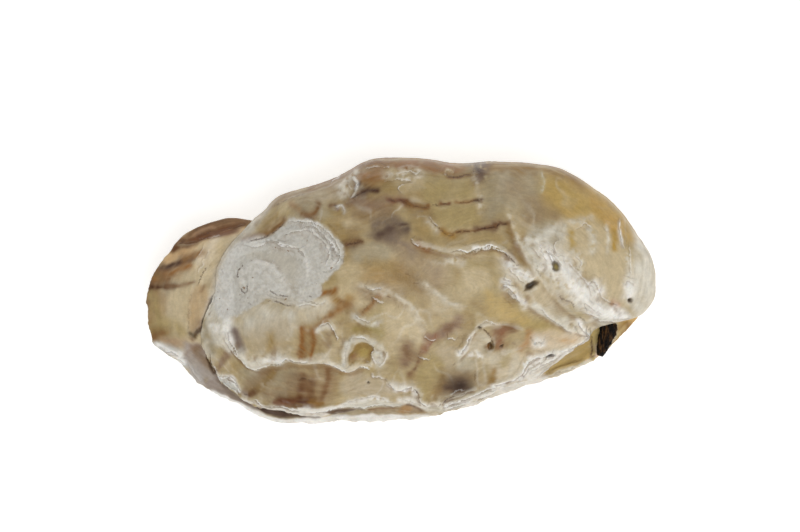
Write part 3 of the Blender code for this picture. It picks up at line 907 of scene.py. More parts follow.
# %% More flaky places: the early disc and the hinge end
WHITE_STROKES += [
    ([30, 25.6, 30.6, 23.4, 30.2, 21.2], 0.5, pigment(190, 182, 150), 0.5),
    ([23.1, 16.9, 24.1, 13.9, 25.7, 10.2], 0.6, CREAM, 0.5, 0.1),
    ([26.5, 10, 28.7, 10.9, 31.3, 11.7, 33.9, 12.6], 1.6, BONE, 0.75, 0.1),
    ([30, 9.1, 32.6, 7.8, 35.2, 6.1], 1.6, IVORY, 0.85, 0.1),
    ([27, 8.7, 28.7, 6.5, 30.8, 4.8], 1.3, BONE, 0.8),
    ([31.1, 4.8, 33, 2.7, 35.6, 0.1, 38.6, -2.5], 1.7, PEARL, 0.85, 0.1),
    (WHITE_BAND, 1.6, IVORY, 0.95),
    (WHITE_BAND, 1.2, WHITE, 0.95, 0.05),
    ([39.9, 0.9, 41.2, 1.1, 42.5, 0.1], 1, WHITE, 0.9, 0.1),
    ([41.6, -3.2, 44.2, -4.7, 46.8, -5.8], 0.9, WHITE, 0.9),
    ([42.5, -6, 44.7, -6.6, 46.8, -6.8], 1, PEARL, 0.9),
    ([22.6, 6.1, 24.4, 4.6, 26.5, 3.1, 27.8, 2], 1, WHITE, 0.7, 0.15),
    (KNOB_RIDGE, 1, WHITE, 0.8, 0.15),
    ([21.8, 1.8, 23.1, 1.8], 0.5, WHITE, 0.7),
    ([28.7, -3, 31.3, -5.1, 33.4, -6.8, 36, -8.4], 0.8, PEARL, 0.8),
    ([38, -6.4, 38.8, -7.9, 40.1, -9.7], 0.6, WHITE, 1),
    ([34.3, -6, 36.5, -7.3, 38.2, -8.6], 0.8, PEARL, 0.7, 0.1),
    ([48.8, 1.4, 49.2, 0.1, 48.8, -1.2], 1, WHITE, 0.9),
    ([46.8, 15.2, 47.3, 11.7, 47.7, 8.7], 0.4, IVORY, 0.8, 0.2),
    ([44.2, 13.9, 44.5, 10.9, 44, 8.3], 0.5, PEARL, 0.5, 0.3),
    ([34.7, 14.3, 37.8, 15.2, 40.8, 15.6], 1, LINEN, 0.6),
    ([40.3, 13.5, 41.2, 10.9, 40.8, 8.3], 0.9, BONE, 0.6, 0.2),
    ([48.6, 7.4, 49, 4.8, 48.8, 2.7], 0.5, PEARL, 0.6, 0.2),
    ([37.3, 8.3, 38.6, 6.1, 37.8, 4], 0.8, PEARL, 0.6, 0.3),
]
print("flaky places so far:", len(WHITE_STROKES))

# %% More flaky places: the front right
WHITE_STROKES += [
    ([12.5, -13.5, 13.3, -12.9, 14, -12.2], 0.55, WHITE, 1),
    ([14.4, -11.4, 15.1, -9.4, 16.2, -8.1], 0.4, PEARL, 0.7),
    ([17, -7.3, 19, -6.8, 20.9, -7.3], 0.7, LINEN, 0.7),
    ([14.9, -13.8, 16.2, -13.5, 17, -14.2], 0.5, WHITE, 0.7, 0.2),
    ([28.7, -11, 29.5, -10.6, 30.4, -11.2], 0.8, IVORY, 0.9),
    ([26.5, -15.5, 27.8, -14.4, 31.3, -13.3], 0.6, WHITE, 0.85, 0.05),
    ([27.4, -17.2, 30, -15.9, 32.6, -14.6, 35.2, -13.3], 1.3, PEARL, 0.85),
    ([35.6, -12.9, 38.2, -11.8, 40.3, -10.3], 0.8, PEARL, 0.8),
    ([19.2, -21.5, 21.3, -20.3, 23.9, -19.6, 26.1, -18.5], 0.6, WHITE, 0.9),
    ([11, -25, 14.9, -23.9, 18.3, -22.4], 0.6, IVORY, 0.8),
    ([8.4, -25.9, 11, -25.4, 13.6, -24.8], 0.5, PEARL, 0.7),
]
crumbs = rough(bent, 1.7, 181, 3)
flaky = np.zeros(len(plan))
for path, width, *rest in WHITE_STROKES:
    flaky = np.maximum(flaky, line(bent, path, width, 0.1, 0.7))
lift += flaky * (0.12 + 0.16 * crumbs)
print("flaky places:", len(WHITE_STROKES))

# %% [markdown]
# Boring sponges and worms left small holes, and a worn ring with a golden floor lies near the front. A hole
# is a soft oval with a flat middle and a steep edge, pressed in.

# %% Holes
WORN_RING = [-11.9, -15.7, -12.2, -14, -11.7, -12, -10.4, -10.5, -8.5, -10, -6.5, -10.5, -5.2, -11.8,
    -3.5, -12.7, -3.3, -14.4, -4.8, -16.1]
worn_ring = line(bent, WORN_RING, 0.7, 0.1, 0.5)
RING_FLOOR = [-11.1, -15.7, -11.2, -14, -10.4, -13.1, -9.8, -11.8, -8.3, -11.2, -7, -11.5, -5.9, -12.9,
    -6.5, -14, -7, -15.7]
ring_floor = area(plan, RING_FLOOR, 0.3)
lift += 0.3 * worn_ring - 0.5 * ring_floor
HOLES = [
    ((27.9, 1), (1.55, 0.6), 36, 1.1),
    ((33.2, 5.2), (0.75, 1.15), 25, 0.9),
    ((49.4, -2.2), (0.55, 0.5), 0, 0.7),
    ((16.8, -7.8), (0.5, 0.35), 0, 0.4),
    ((19.1, -11.9), (0.65, 0.9), -30, 0.8),
    ((21.6, -12), (0.5, 0.3), 45, 0.4),
    ((-6.9, -19.9), (0.3, 0.3), 0, 0.3),
    ((32.1, -14), (0.9, 0.4), 10, 0.5),
]
pitted = bend(plan, 1.2, 0.3, 183)
holes = np.zeros(len(plan))
for centre, sizes, turn, depth in HOLES:
    pit = spot(pitted, centre, sizes, turn, 4)
    holes = np.maximum(holes, pit)
    lift -= depth * pit
print("holes:", len(HOLES))

# %% [markdown]
# Thin growth sheets show as fine parallel lines that follow the nearest margin. Their waves are worked out
# from the distance to the margin, bent by a little noise.

# %% Fine growth lines
from_margin = (read_round(UPPER_MARGIN, angle) - radius) * stretch(angle)
flow = growth_flow(from_margin + 1.6 * rough(plan, 12, 193, 2), angle)
combed = rough(flow * (1, 0.2, 0.2), 0.9, 191, 2)
layers = np.sin(2 * math.pi * (from_margin + 1.3 * rough(plan, 9, 61, 2)) / 1.3)
thin = np.exp(-np.clip(from_margin, 0, None) / 5.0) * smoothstep(-0.4, 0.8, noise(plan, 9, 67))
late = (1 - chalk_patch) * smoothstep(30, 16, plan[:, 0])
lift += 0.03 * layers * thin * late + 0.03 * combed * (1 - chalk_patch)
steps = (from_margin + 2.2 * rough(plan, 12, 71, 2)) / 3.2
lift += 0.12 * (steps % 1.0 - 0.5) * np.exp(-np.clip(from_margin, 0, None) / 8.0) * late
print("the middle lies", from_margin.max().round(1), "mm from the margin")

# %% Ruffles along the front lip
_, share_out = disc(corners[:upper_top])
rim = smoothstep(0.88, 0.99, share_out / LIP_START)
front_lip = smoothstep(0.25, -0.25, np.sin(angle) - 0.1)
ruffle = np.clip(rough(np.column_stack([angle * 34, from_margin]), 7.0, 81, 3) + 0.25, 0, None)
lift_up = 0.3 * ruffle * rim * front_lip
print("the front lip is lifted by up to", lift_up.max().round(2), "mm")

# %% Raise the relief
push = upper_normals[:upper_top] * lift[:, None]
push[:, :2] *= 1 - smoothstep(0.8, 0.97, share_out)[:, None]
upper_places = upper_form.copy()
upper_places[:upper_top] += push
upper_places[:upper_top, 2] += lift_up
relief = lift - soften(lift, UPPER_CELLS, 14)
print("relief from", lift.min().round(2), "to", lift.max().round(2), "mm")

# %% [markdown]
# ## The upper valve: its colour
#
# The colour is laid on like glazes on a pot, from the ground tone up: broad fields of tan, khaki, gold and
# grey, then the brown growth stripes, then the chalk, and last the white of the sheet edges with their
# painted sheen, painted highlight on the crests of the relief and painted shade in its hollows. Every mask
# is either drawn or comes from the relief itself.

# %% Ground tones
tint = np.tile(BEIGE, (upper_top, 1))
glaze(tint, smoothstep(-0.3, 0.7, rough(bent, 11, 101, 3)), KHAKI, 0.8)
glaze(tint, smoothstep(-0.1, 0.8, rough(bent, 7, 103, 3)), TAN, 0.55)
FIELDS = [
    # The back flank, from the left to the hinge end.
    ([-34.2, 11.7, -31.4, 14.8, -27.9, 18.2, -24, 20.2, -18.8, 22.1, -14.1, 24.3, -11.1, 26.4, -11.9, 23,
      -14.1, 20.4, -18.4, 18.6, -24, 16.5, -29.2, 14.3], 1.2, BARK, 0.8),
    ([-11.5, 19.9, -5.4, 21.2, -1.1, 19.9, -0.7, 16.5, -4.6, 14.3, -8.9, 14.8, -11.5, 16.5], 1.5, BARK,
      0.9),
    ([-3.7, 28.1, 4.1, 28.1, 14.9, 27.1, 15.3, 24.7, 6.2, 25.6, -1.1, 26], 1, BARK, 0.9),
    ([-1.3, 17.8, 6.2, 16.9, 14.9, 18.2, 21.3, 18.6, 23.1, 15.6, 14.9, 13.9, 7.5, 15.2, 1.9, 14.3], 1.3,
      pigment(160, 138, 94), 0.9),
    ([-13.2, 27.3, -7.6, 28.1, -0.3, 27.7, -0.7, 23.4, -6.3, 21.2, -11.1, 23.4], 1.2, BARK, 0.7),
    ([1.5, 14.8, 14.9, 12.6, 21.3, 12.6, 22.6, 10, 14.9, 9.6, 6.2, 10], 1.3, TAN, 0.6),
    ([-12.8, 13, -9.3, 13.5, -8.5, 8.3, -11.5, 7.4], 1, BARK, 0.7),
    ([0.6, 19.1, 6.2, 18.2, 9.2, 16.9, 7.5, 14.8, 2.3, 16], 1, BARK, 0.7),
    # The early disc.
    ([30, 27.1, 35.6, 26.4, 42.1, 22.5, 48.1, 16.3, 51.6, 10.9, 47.3, 9.6, 40.8, 12.6, 34.3, 14.8,
      31.3, 19.5], 3, GOLD, 0.9),
    ([27.8, 12.6, 35.6, 13.9, 36.9, 8.3, 34.3, 4, 30, 5.7], 1.6, PEARL, 0.6),
    ([35.6, 14.8, 40.8, 16, 46.8, 11.7, 50.3, 6.1, 50.3, -2.1, 44.2, -2.1, 39.5, 3.1, 35.6, 8.7], 2, CREAM,
      0.85),
    # The thin right edge: partly its own pale colour, partly painted light where it is lit through from
    # below.
    ([50.7, 12.6, 53.3, 8.7, 55.3, 2.2, 54.2, -3.4, 51.1, -6, 49.4, 0.1, 50.1, 7.4], 1.3, PEARL, 0.9),
    ([31.7, 4.8, 35.6, 3.1, 40.8, -1.2, 44.2, -3.4, 42.1, -5.1, 37.3, -3.4, 32.6, 0.1], 1.2, CREAM, 0.7),
    # The middle.
    ([-0.7, 11.3, 6.2, 10, 9.7, 6.1, 7.9, 0.1, 2.3, -0.4, -0.7, 4], 2, STONE, 0.7),
    ([-8.5, 6.1, -0.3, 6.1, 2.3, 3.1, -2, 0.5, -8.5, 1.8], 1.8, HONEY, 0.5),
    ([-11.1, 6.1, -7.6, 4.4, -10.6, 2.2, -13.2, 4], 1.4, CREAM, 0.6),
    ([23.1, 3.1, 30, 0.9, 33.4, -3.4, 31.3, -5.6, 26.5, -3.4, 23.1, -0.4], 1.6, CREAM, 0.55),
    ([18.3, -0.4, 23.9, -2.1, 30, -6, 34.3, -8.6, 31.3, -10.3, 24.8, -7.7, 18.7, -4.7], 1.6,
      pigment(174, 152, 98), 0.75),
    ([-14.9, 0.9, -9.8, 1.4, -6.3, -2.1, -10.6, -5.6, -14.5, -3], 1.8, CREAM, 0.7),
]
print("fields so far:", len(FIELDS))

# %% More fields: the front, under the chalk and along the margin
FIELDS += [
    ([-42.6, -2.1, -40.4, -1.2, -37.8, -4.7, -35.7, -7.7, -35.3, -12, -37.8, -12, -40.9, -11.6,
      -42.6, -8.6], 1.6, BONE, 0.9),
    ([-34.8, -17.2, -24, -16.4, -21.9, -18.5, -24.9, -23.3, -31.4, -23.3], 1.5, ASH, 0.9),
    ([23.1, -12.9, 27, -12.9, 26.5, -16.8, 22.2, -18.9, 19.6, -17.6], 1.3, pigment(208, 190, 158), 0.8),
    ([25.7, -16.8, 30.8, -13.8, 34.3, -13.8, 31.7, -17.2, 25.7, -20.2, 20.9, -21.5], 1, PEARL, 0.9),
    # Below the front ruffle: partly its own brown, partly painted shade under the ruffle's overhanging
    # edge.
    ([-25.3, -17.6, -14.1, -16.8, -14.9, -23.3, -24, -24.6], 1.5, UMBER, 0.45),
    # Smaller ones at the back, where one part runs into the next.
    ([-30.9, 16.5, -27.9, 18.2, -24.5, 19.5, -21.9, 18.2, -23.6, 16.5, -27, 15.6, -30.1, 13.9], 0.8, KHAKI,
      0.8),
    ([-24.9, 19.5, -19.3, 21.2, -14.5, 20.4, -14.5, 16.9, -18.4, 15.2, -22.7, 16], 1, ASH, 0.8),
    ([-15.8, 23.8, -11.9, 25.6, -9.8, 23.4, -11.1, 20.8, -13.2, 19.9, -15.8, 20.4], 1, STONE, 0.75),
    ([-15.8, 19.5, -12.8, 19.9, -11.1, 17.8, -11.5, 15.2, -13.7, 14.8, -15.4, 16.5], 0.9, TAN, 0.85),
    ([-15.8, 15.6, -13.2, 15.2, -11.1, 11.7, -11.5, 9.6, -13.7, 11.3, -15.8, 13.5], 0.8, TAN, 0.8),
    ([-3.7, 22.5, -0.7, 23, 3.2, 21.7, 7.5, 21.7, 7.5, 19.5, 1.9, 19.5, -2.4, 19.9], 1, TAN, 0.8),
    ([4.9, 25.1, 9.7, 24.7, 15.7, 23.8, 16.2, 19.9, 9.7, 19.3, 4.9, 19.5], 1, KHAKI, 0.85),
    ([6.2, 17.8, 9.7, 18.2, 15.7, 18.6, 16.6, 14.8, 13.6, 13.5, 9.7, 13, 7.5, 15.2], 1, KHAKI, 0.85),
    ([-2.9, 26.4, 0.6, 26.6, 4.9, 26.2, 5.4, 24.3, 3.6, 21.7, 0.2, 20.8, -1.1, 22.1, -2.4, 24.3], 0.9,
      BEIGE, 0.8),
    ([17.2, 24.3, 21.3, 26, 23.1, 21.7, 23.5, 17.3, 21.3, 15.6, 17.9, 15.2], 1.8, ASH, 0.8),
    ([20, 27.7, 29.5, 27.1, 30, 22.5, 27, 18.2, 23.1, 17.3, 21.3, 21.7], 2.4, DUST, 0.8),
    ([26.1, 19.5, 30, 20.8, 33.4, 18.6, 34.3, 14.8, 30, 13.5, 26.1, 14.8], 1.6, CLAY, 0.8),
    ([30.8, 25.6, 36.5, 24.3, 40.8, 20.8, 43.8, 16.9, 40.8, 15.6, 35.6, 16, 32.1, 18.2, 30, 21.7], 2.4,
      STRAW, 0.8),
    ([40.8, 20.4, 44.2, 18.6, 48.1, 13.9, 46.8, 11.7, 43.8, 14.3, 41.2, 17.3], 0.9, pigment(190, 152, 84),
      0.75),
]
print("fields so far:", len(FIELDS))

# %% More fields: smaller ones in the middle and at the front right
FIELDS += [
    ([-11.1, 9.6, -5.4, 10.4, -1.6, 8.7, -2.9, 6.1, -7.6, 5.7, -10.6, 6.5], 1, DUST, 0.8),
    ([13.1, 4.8, 18.3, 4.4, 19.6, 1.4, 15.7, -0.4, 13.6, 1.4], 1, CREAM, 0.75),
    ([-3.3, -3.4, 0.6, -3, 4.1, -6.8, 5.8, -9.9, 2.8, -11.2, -1.1, -9.4, -3.7, -6.8], 1.2, CREAM, 0.8),
    ([18.3, 0.1, 22.6, -2.5, 27.4, -5.6, 25.7, -7.3, 20.5, -6.8, 17.9, -4.7], 1, STRAW, 0.8),
    ([36, 8.3, 40.8, 9.6, 46.8, 8.3, 48.1, 0.1, 45.5, -2.5, 41.6, 1.8, 37.8, 4], 1.2, CREAM, 0.75),
    ([27.4, -9, 33.4, -8.6, 39.5, -9.4, 38.6, -11.6, 32.6, -12.5, 28.3, -12.9], 0.9, pigment(208, 188, 158),
      0.8),
    ([17.9, -13.3, 22.2, -12.9, 24.8, -13.3, 25.7, -15.5, 23.5, -18.1, 19.6, -18.1], 1, LINEN, 0.8),
    ([14.4, -9.4, 17, -8.6, 19.2, -10.7, 18.3, -12.9, 14.9, -12.9, 13.6, -12], 0.7, LINEN, 0.85),
    ([11.8, -14.2, 14.9, -13.8, 15.7, -16.8, 13.6, -17.6, 11.8, -16.8], 0.6, pigment(192, 182, 158), 0.75),
    ([10.1, -22.8, 14.4, -22, 18.7, -21.5, 23.1, -19.8, 21.3, -22, 16.6, -23.9, 11.8, -24.8, 9.2, -24.6],
      0.6, LINEN, 0.8),
    ([7.5, -12, 10.5, -11.6, 12.3, -12.9, 11.4, -15.9, 9.7, -17.6, 7.5, -15.5], 1.2, OAT, 0.85),
    ([-11.5, -17.6, -6.3, -18.1, -2.4, -20.2, -1.1, -22.4, -6.3, -22.4, -11.1, -22.4, -13.2, -20.7], 1, OAT,
      0.85),
    ([3.6, -15.5, 7.5, -14.2, 9.7, -17.2, 7.9, -22.4, 5.4, -22.8, 3.2, -19.4], 1, KHAKI, 0.8),
    # Smaller ones at the left.
    ([-34.8, -5.6, -31.4, -3.4, -27, -3, -22.7, -3.8, -21.9, -6.8, -23.6, -9.4, -28.8, -9.4, -33.5, -9.4],
      2.4, BONE, 0.85),
    ([-33.1, -9, -29.2, -7.7, -25.3, -9, -24, -12.5, -27.5, -13.8, -31.8, -13.3], 1.6, OAT, 0.7),
    ([-22.3, -3, -18.4, -1.2, -14.1, -1.2, -12.8, -3.4, -15.8, -5.1, -20.1, -6.8], 1.2, LINEN, 0.8),
    ([-44.3, -6, -42.2, -6, -41.3, -9, -40, -12, -40.4, -14.2, -41.7, -13.3, -43.5, -11.2, -44.3, -8.6],
      0.9, ASH, 0.9),
    ([-39.8, -18.8, -38.3, -19.1, -36.8, -19.1, -35.7, -20.2, -34.8, -21.8, -35.3, -22.4, -37, -21.3,
      -38.7, -20], 0.25, pigment(204, 204, 196), 0.95),
    ([-36.5, -8.1, -35.3, -8.6, -34.2, -10.5, -33.3, -12.9, -34.2, -14, -35.3, -13.1, -36.1, -11], 0.6,
      MAUVE, 0.9),
    ([-34.2, -22.8, -34.2, -20.2, -32.2, -18.5, -30.1, -17.6, -27, -17.2, -27.9, -19.4, -30.1, -21.3,
      -32.2, -23], 0.9, CLAY, 0.8),
    ([-30.1, -6, -26.2, -5.6, -23.2, -6.8, -24, -9.4, -28.8, -9], 1.6, OAT, 0.7),
]
print("fields so far:", len(FIELDS))

# %% More fields: last touches
FIELDS += [
    ([-9.8, 1.4, -4.6, 1.4, 0.6, 0.1, 0.2, -2.5, -5.4, -2.5, -9.3, -1.2], 1, STONE, 0.8),
    ([-3.3, -8.1, 0.2, -8.6, 0.2, -12.9, -2.9, -13.3], 1, CREAM, 0.7),
    ([-0.7, 28.1, 8.4, 27.5, 16.2, 26.8, 16.2, 24.3, 8.4, 24.3, -0.3, 25.6], 0.9, pigment(146, 124, 82),
      0.7),
    ([27.8, 13.9, 31.3, 14.8, 33.9, 13.5, 33.4, 9.6, 30, 9.6, 27.4, 10.9], 1.2, DUST, 0.75),
    ([-5.9, 14.3, -2.9, 14.8, 0.2, 14.3, 1.5, 12.2, -2, 10.4, -5.9, 10.9, -7.6, 12.2], 1.2, SMOKE, 0.8),
]
wash(tint, bent, FIELDS, 0.2 * combed)
print("fields of colour:", len(FIELDS))

# %% Soft patches
PATCHES = [
    # Paler places.
    ((-16.2, 19.9), (4.2, 1.6), 5, OAT, 0.7),
    ((-32.7, 13.9), (1.8, 3.6), -40, BONE, 0.8),
    ((13.6, -0.4), (2.6, 2), -20, CREAM, 0.6),
    ((24.8, 3.5), (3.6, 1.6), -32, PEARL, 0.7),
    ((33.9, -4.3), (4, 1.8), -38, LINEN, 0.6),
    ((39.9, -7.7), (2.6, 1.6), -35, LINEN, 0.7),
    ((41.6, -0.4), (2, 2), -40, IVORY, 0.8),
    ((44.2, -4), (4.6, 1.6), -28, IVORY, 0.85),
    ((-38.1, 3.3), (2.2, 6), -10, BONE, 0.5),
    ((30.4, -14.4), (3.6, 1.4), 28, PEARL, 0.7),
    ((49.4, 0.1), (1.6, 3), 0, IVORY, 0.6),
    ((38.8, -10.1), (4.4, 1.5), 28, pigment(216, 198, 170), 0.6),
    ((-24.5, 17.8), (2.4, 1.1), 30, CREAM, 0.6),
    ((-33.3, 13.2), (1.2, 3), -42, BONE, 0.85),
    ((-31.8, 14.8), (0.9, 1.8), -50, BONE, 0.7),
    # Darker places.
    ((9.9, -8.4), (3, 1), 35, pigment(142, 106, 82), 0.6),
    ((8.4, -21.8), (2.4, 1.6), 30, TOFFEE, 0.5),
    ((-5.4, 18.2), (4, 1.8), -8, FAWN, 0.7),
    ((24.4, 22.1), (3.2, 2.6), 0, STONE, 0.7),
    ((23.9, 7), (1.1, 2), 30, FAWN, 0.8),
    ((-27.9, -22.2), (3.4, 1.8), 10, CLAY, 0.7),
    ((14, -9.9), (3, 1.4), 15, STONE, 0.5),
]
dab(tint, bent, PATCHES)
glaze(tint, veins(bent, 9, 151, 0.06) * smoothstep(-0.2, 0.6, noise(plan, 12, 157)), PEARL, 0.35)
print("soft patches:", len(PATCHES))

# %% [markdown]
# Each pause in growth left a dark line, and pigment laid down on the way left broad brown stripes. The fine
# lines are kept for the finish, as the white ones are. The stripes are soft enough to be painted at once.

# %% Thin dark growth lines
GROWTH_LINES = [
    ([-27.9, 18, -25.5, 19.1, -22.7, 20.2, -19.3, 21.2], 0.4),
    ([-33.5, 10.2, -29.9, 11.5, -27, 13.3, -24.9, 14.8], 0.8),
    ([-30.1, 11.5, -29.2, 10.4, -29.4, 9.6], 0.4),
    ([-2.9, 19.7, -1.3, 19.3, 0.2, 19.3, 2.3, 18.2, 4.5, 17.8, 6, 18.1], 0.5),
    ([6.7, 18.4, 7.9, 18.5], 0.6),
    ([8.2, 18.9, 10.3, 18.7], 0.7),
    ([12.3, 19, 15.7, 19.3, 17.9, 19.7], 0.4),
    ([6.4, 14.8, 7.3, 14.1, 8.4, 13], 0.6),
    ([8.4, 13, 10.1, 11.7, 11.4, 11.9], 0.5),
    ([11.8, 12.5, 14, 12.7, 16.2, 12.8], 0.6),
    ([16.6, 13.2, 18.7, 13.3, 20.5, 13.7, 21.3, 14.4, 23.1, 14.5], 0.9),
    ([9.7, 25.1, 10.3, 24.5, 12.3, 24.5, 15.1, 24.8], 0.7),
    ([-7.6, 27.8, -5.9, 28.1, -4.1, 27.7], 0.6),
    ([-8.9, 26.8, -6.3, 27.3, -2.9, 27], 0.35),
    ([22, 8.3, 23.5, 6.8, 25.2, 5.2], 0.7),
    ([7.9, -25.3, 9.7, -23.7, 11.8, -22.3], 0.8),
    ([9, -25.4, 11, -24.3, 13.1, -23.5], 0.5),
    ([10.3, -23.2, 11.8, -22.4, 14, -22], 0.6),
    ([2.5, -21.1, 3.4, -22, 4, -23], 1),
    ([17.5, -7.9, 18.7, -9.2, 19.6, -10.7, 20, -12], 0.7),
    ([15.7, -17.2, 15.9, -18.7, 16, -19.8], 0.4),
    ([12.1, -15.1, 11.2, -16.1, 11.6, -17.2], 0.4),
    ([-11.9, 9.6, -10.6, 10, -8.9, 10.3], 0.7),
    ([-10.6, 19.7, -8.5, 20.9, -6.7, 21.7, -5, 21.4], 0.9),
    ([-9.5, 21.9, -8.7, 22.7], 0.9),
    ([-14.5, 18.4, -13.7, 17.8], 0.5),
    ([-34.2, 5.7, -35.1, 4, -35.3, 2], 0.9),
    ([-34.8, 0.5, -34, -0.6, -33.1, -0.2, -33.1, 1.4], 0.8),
    ([-28.3, 0.3, -27, -0.8, -25.7, -1, -24, -1.2], 0.7),
    ([-29.2, -2.1, -27, -2.3, -25.3, -3, -23.2, -3.3], 0.7),
    ([-19.9, -1.2, -19.1, -1.4], 0.6),
    ([-33.1, -2.5, -32.4, -3], 0.4),
    ([-38.9, 4.8, -38.5, 3.1], 0.3),
    ([-22.3, 8.3, -21.2, 7.2], 0.4),
    ([-17.1, 4.2, -15.4, 4, -13.7, 5], 0.3),
    ([16.2, 27.5, 15.7, 25.6, 16.4, 24.3], 0.6),
    ([17.2, 26.8, 16.8, 25.3], 0.4),
    ([16.2, 19.4, 17, 19.3], 0.8),
    ([-10.6, -10.1, -11.3, -11], 0.4),
    ([-21.9, -19.2, -20.6, -18.7, -19.1, -19.4], 0.6),
    ([30, 6.1, 29.1, 4.4, 30.2, 2.2], 0.3),
    ([33.4, -0.6, 34.7, -1.7, 36.5, -2.5, 37.1, -3.8], 0.5),
    ([39.1, -2.5, 39.9, -4.3], 0.4),
    ([38.2, -5.3, 39.5, -6.4], 0.5),
    ([45.5, -2.7, 46.4, -3.1], 0.6),
    ([31.1, -14.2, 32.1, -13.5, 33.2, -14.2], 0.6),
    ([-8, 0.5, -6.3, 0.7, -3.7, 0.1], 0.4),
    ([-8.3, -4.5, -7, -2.7], 0.4),
    ([-6.3, -0.8, -5.9, -3], 0.4),
    ([-3.3, -1.4, -2, -1.7], 0.4),
    ([0.6, 3.7, 1.9, 3.3], 0.4),
    ([2.3, 1.6, 3.8, 1.4], 0.4),
    ([-41.3, -14.2, -41.1, -15.9, -40, -18.1], 0.9),
    ([-39.1, -19.6, -37.8, -21.3, -36.1, -22.5, -34.2, -23.9], 0.5),
    ([-34, -22.4, -32.7, -22.7], 0.5),
]
print("dark growth lines:", len(GROWTH_LINES))

# %% The torn front lip
LIP_FIELDS = [
    ([-34.6, -23.3, -32.7, -23.9, -31.4, -24.3, -28.8, -25, -26.2, -25.1, -23.6, -25.6, -21, -26,
      -21, -26.9, -23.6, -27.4, -24, -26.7, -25.5, -26.3, -27.9, -26.1, -30.1, -25.6, -31.4, -24.8,
      -32.7, -24.6, -34.4, -23.9], 0.25, IVORY, 0.95),
    ([-22.3, -25.4, -19.7, -25.5, -17.5, -25.7, -15.4, -25.2, -12.4, -24.3, -10.6, -23.9, -11.9, -25.2,
      -14.5, -26.1, -17.1, -27.4, -22.3, -27.4], 0.3, IVORY, 0.95),
    ([-12.4, -24.6, -8.9, -23.7, -5.4, -23.5, -2.4, -23.7, -0.3, -24.1, 2.3, -24.6, 5.4, -25, 8.4, -25.3,
      4.9, -25.9, 1.5, -24.3, -1.1, -25.1, -6.3, -25.2, -8.9, -25.9, -11.9, -25.2], 0.5, BONE, 0.85),
    ([-16.7, -26.6, -14.5, -25.9, -11.9, -25.5, -9.3, -25.7, -8, -26.3, -11.1, -26.8, -14.1, -26.9], 0.2,
      SMOKE, 0.95),
    ([-8.5, -26.3, -6.3, -25.5, -3.3, -25.2, -0.3, -25.2, 1.3, -24.5, 2.8, -25, 4.1, -25.6, 5.6, -26.5,
      1.9, -26.9, -3.3, -26.9, -6.7, -26.9], 0.25, STONE, 0.95),
    ([-0.5, -26.1, 0.2, -24.8, 1.5, -24.6, 2.3, -25.4, 1.5, -26.5, 0, -26.7], 0.5, pigment(170, 134, 92),
      0.85),
    ([9.2, -24.6, 14.9, -22.8, 19.6, -21.1, 23.9, -19.6, 26.5, -18.9, 30, -19.4, 25.7, -21.1, 20.5, -22.8,
      14.9, -24.6, 9.7, -25.9], 0.4, IVORY, 0.85),
    ([25.2, -18.1, 27, -15.1, 29.1, -13.3, 31.7, -12.7, 34.3, -12.9, 37.3, -12, 39.9, -10.5, 41.2, -9.7,
      39.1, -12.9, 34.7, -15.7, 30.8, -18.3, 29.5, -19.6, 26.1, -20], 0.4, IVORY, 0.9),
]
LIP_STAINS = [
    ([-16.2, -26.5, -13.2, -25.9, -9.8, -26], 0.3, PEAT, 0.8),
    ([0.6, -24.7, 1.7, -24.6, 3.2, -25.4, 4.9, -26.5], 0.25, SEPIA, 0.8),
    ([-8, -26.2, -4.6, -25.5, -0.7, -25.3], 0.25, FAWN, 0.7),
    ([12.3, -23.7, 16.2, -22.4, 20, -21.4], 0.35, DUST, 0.7),
    ([14.9, -24.3, 19.2, -23, 23.5, -21.3], 0.35, BEIGE, 0.6),
    ([21.8, -20.7, 24.8, -19.8, 27.8, -19.4], 0.4, OAT, 0.6),
    ([27.8, -16.4, 30, -15.3, 31.7, -14.2], 0.3, OAT, 0.7),
    ([28.7, -18.1, 31.7, -16.4, 34.3, -14.4], 0.3, OAT, 0.6),
    ([5.8, -25.4, 8.4, -25.6], 0.3, DUST, 0.7),
]
print("fields and stains of the torn lip:", len(LIP_FIELDS), len(LIP_STAINS))

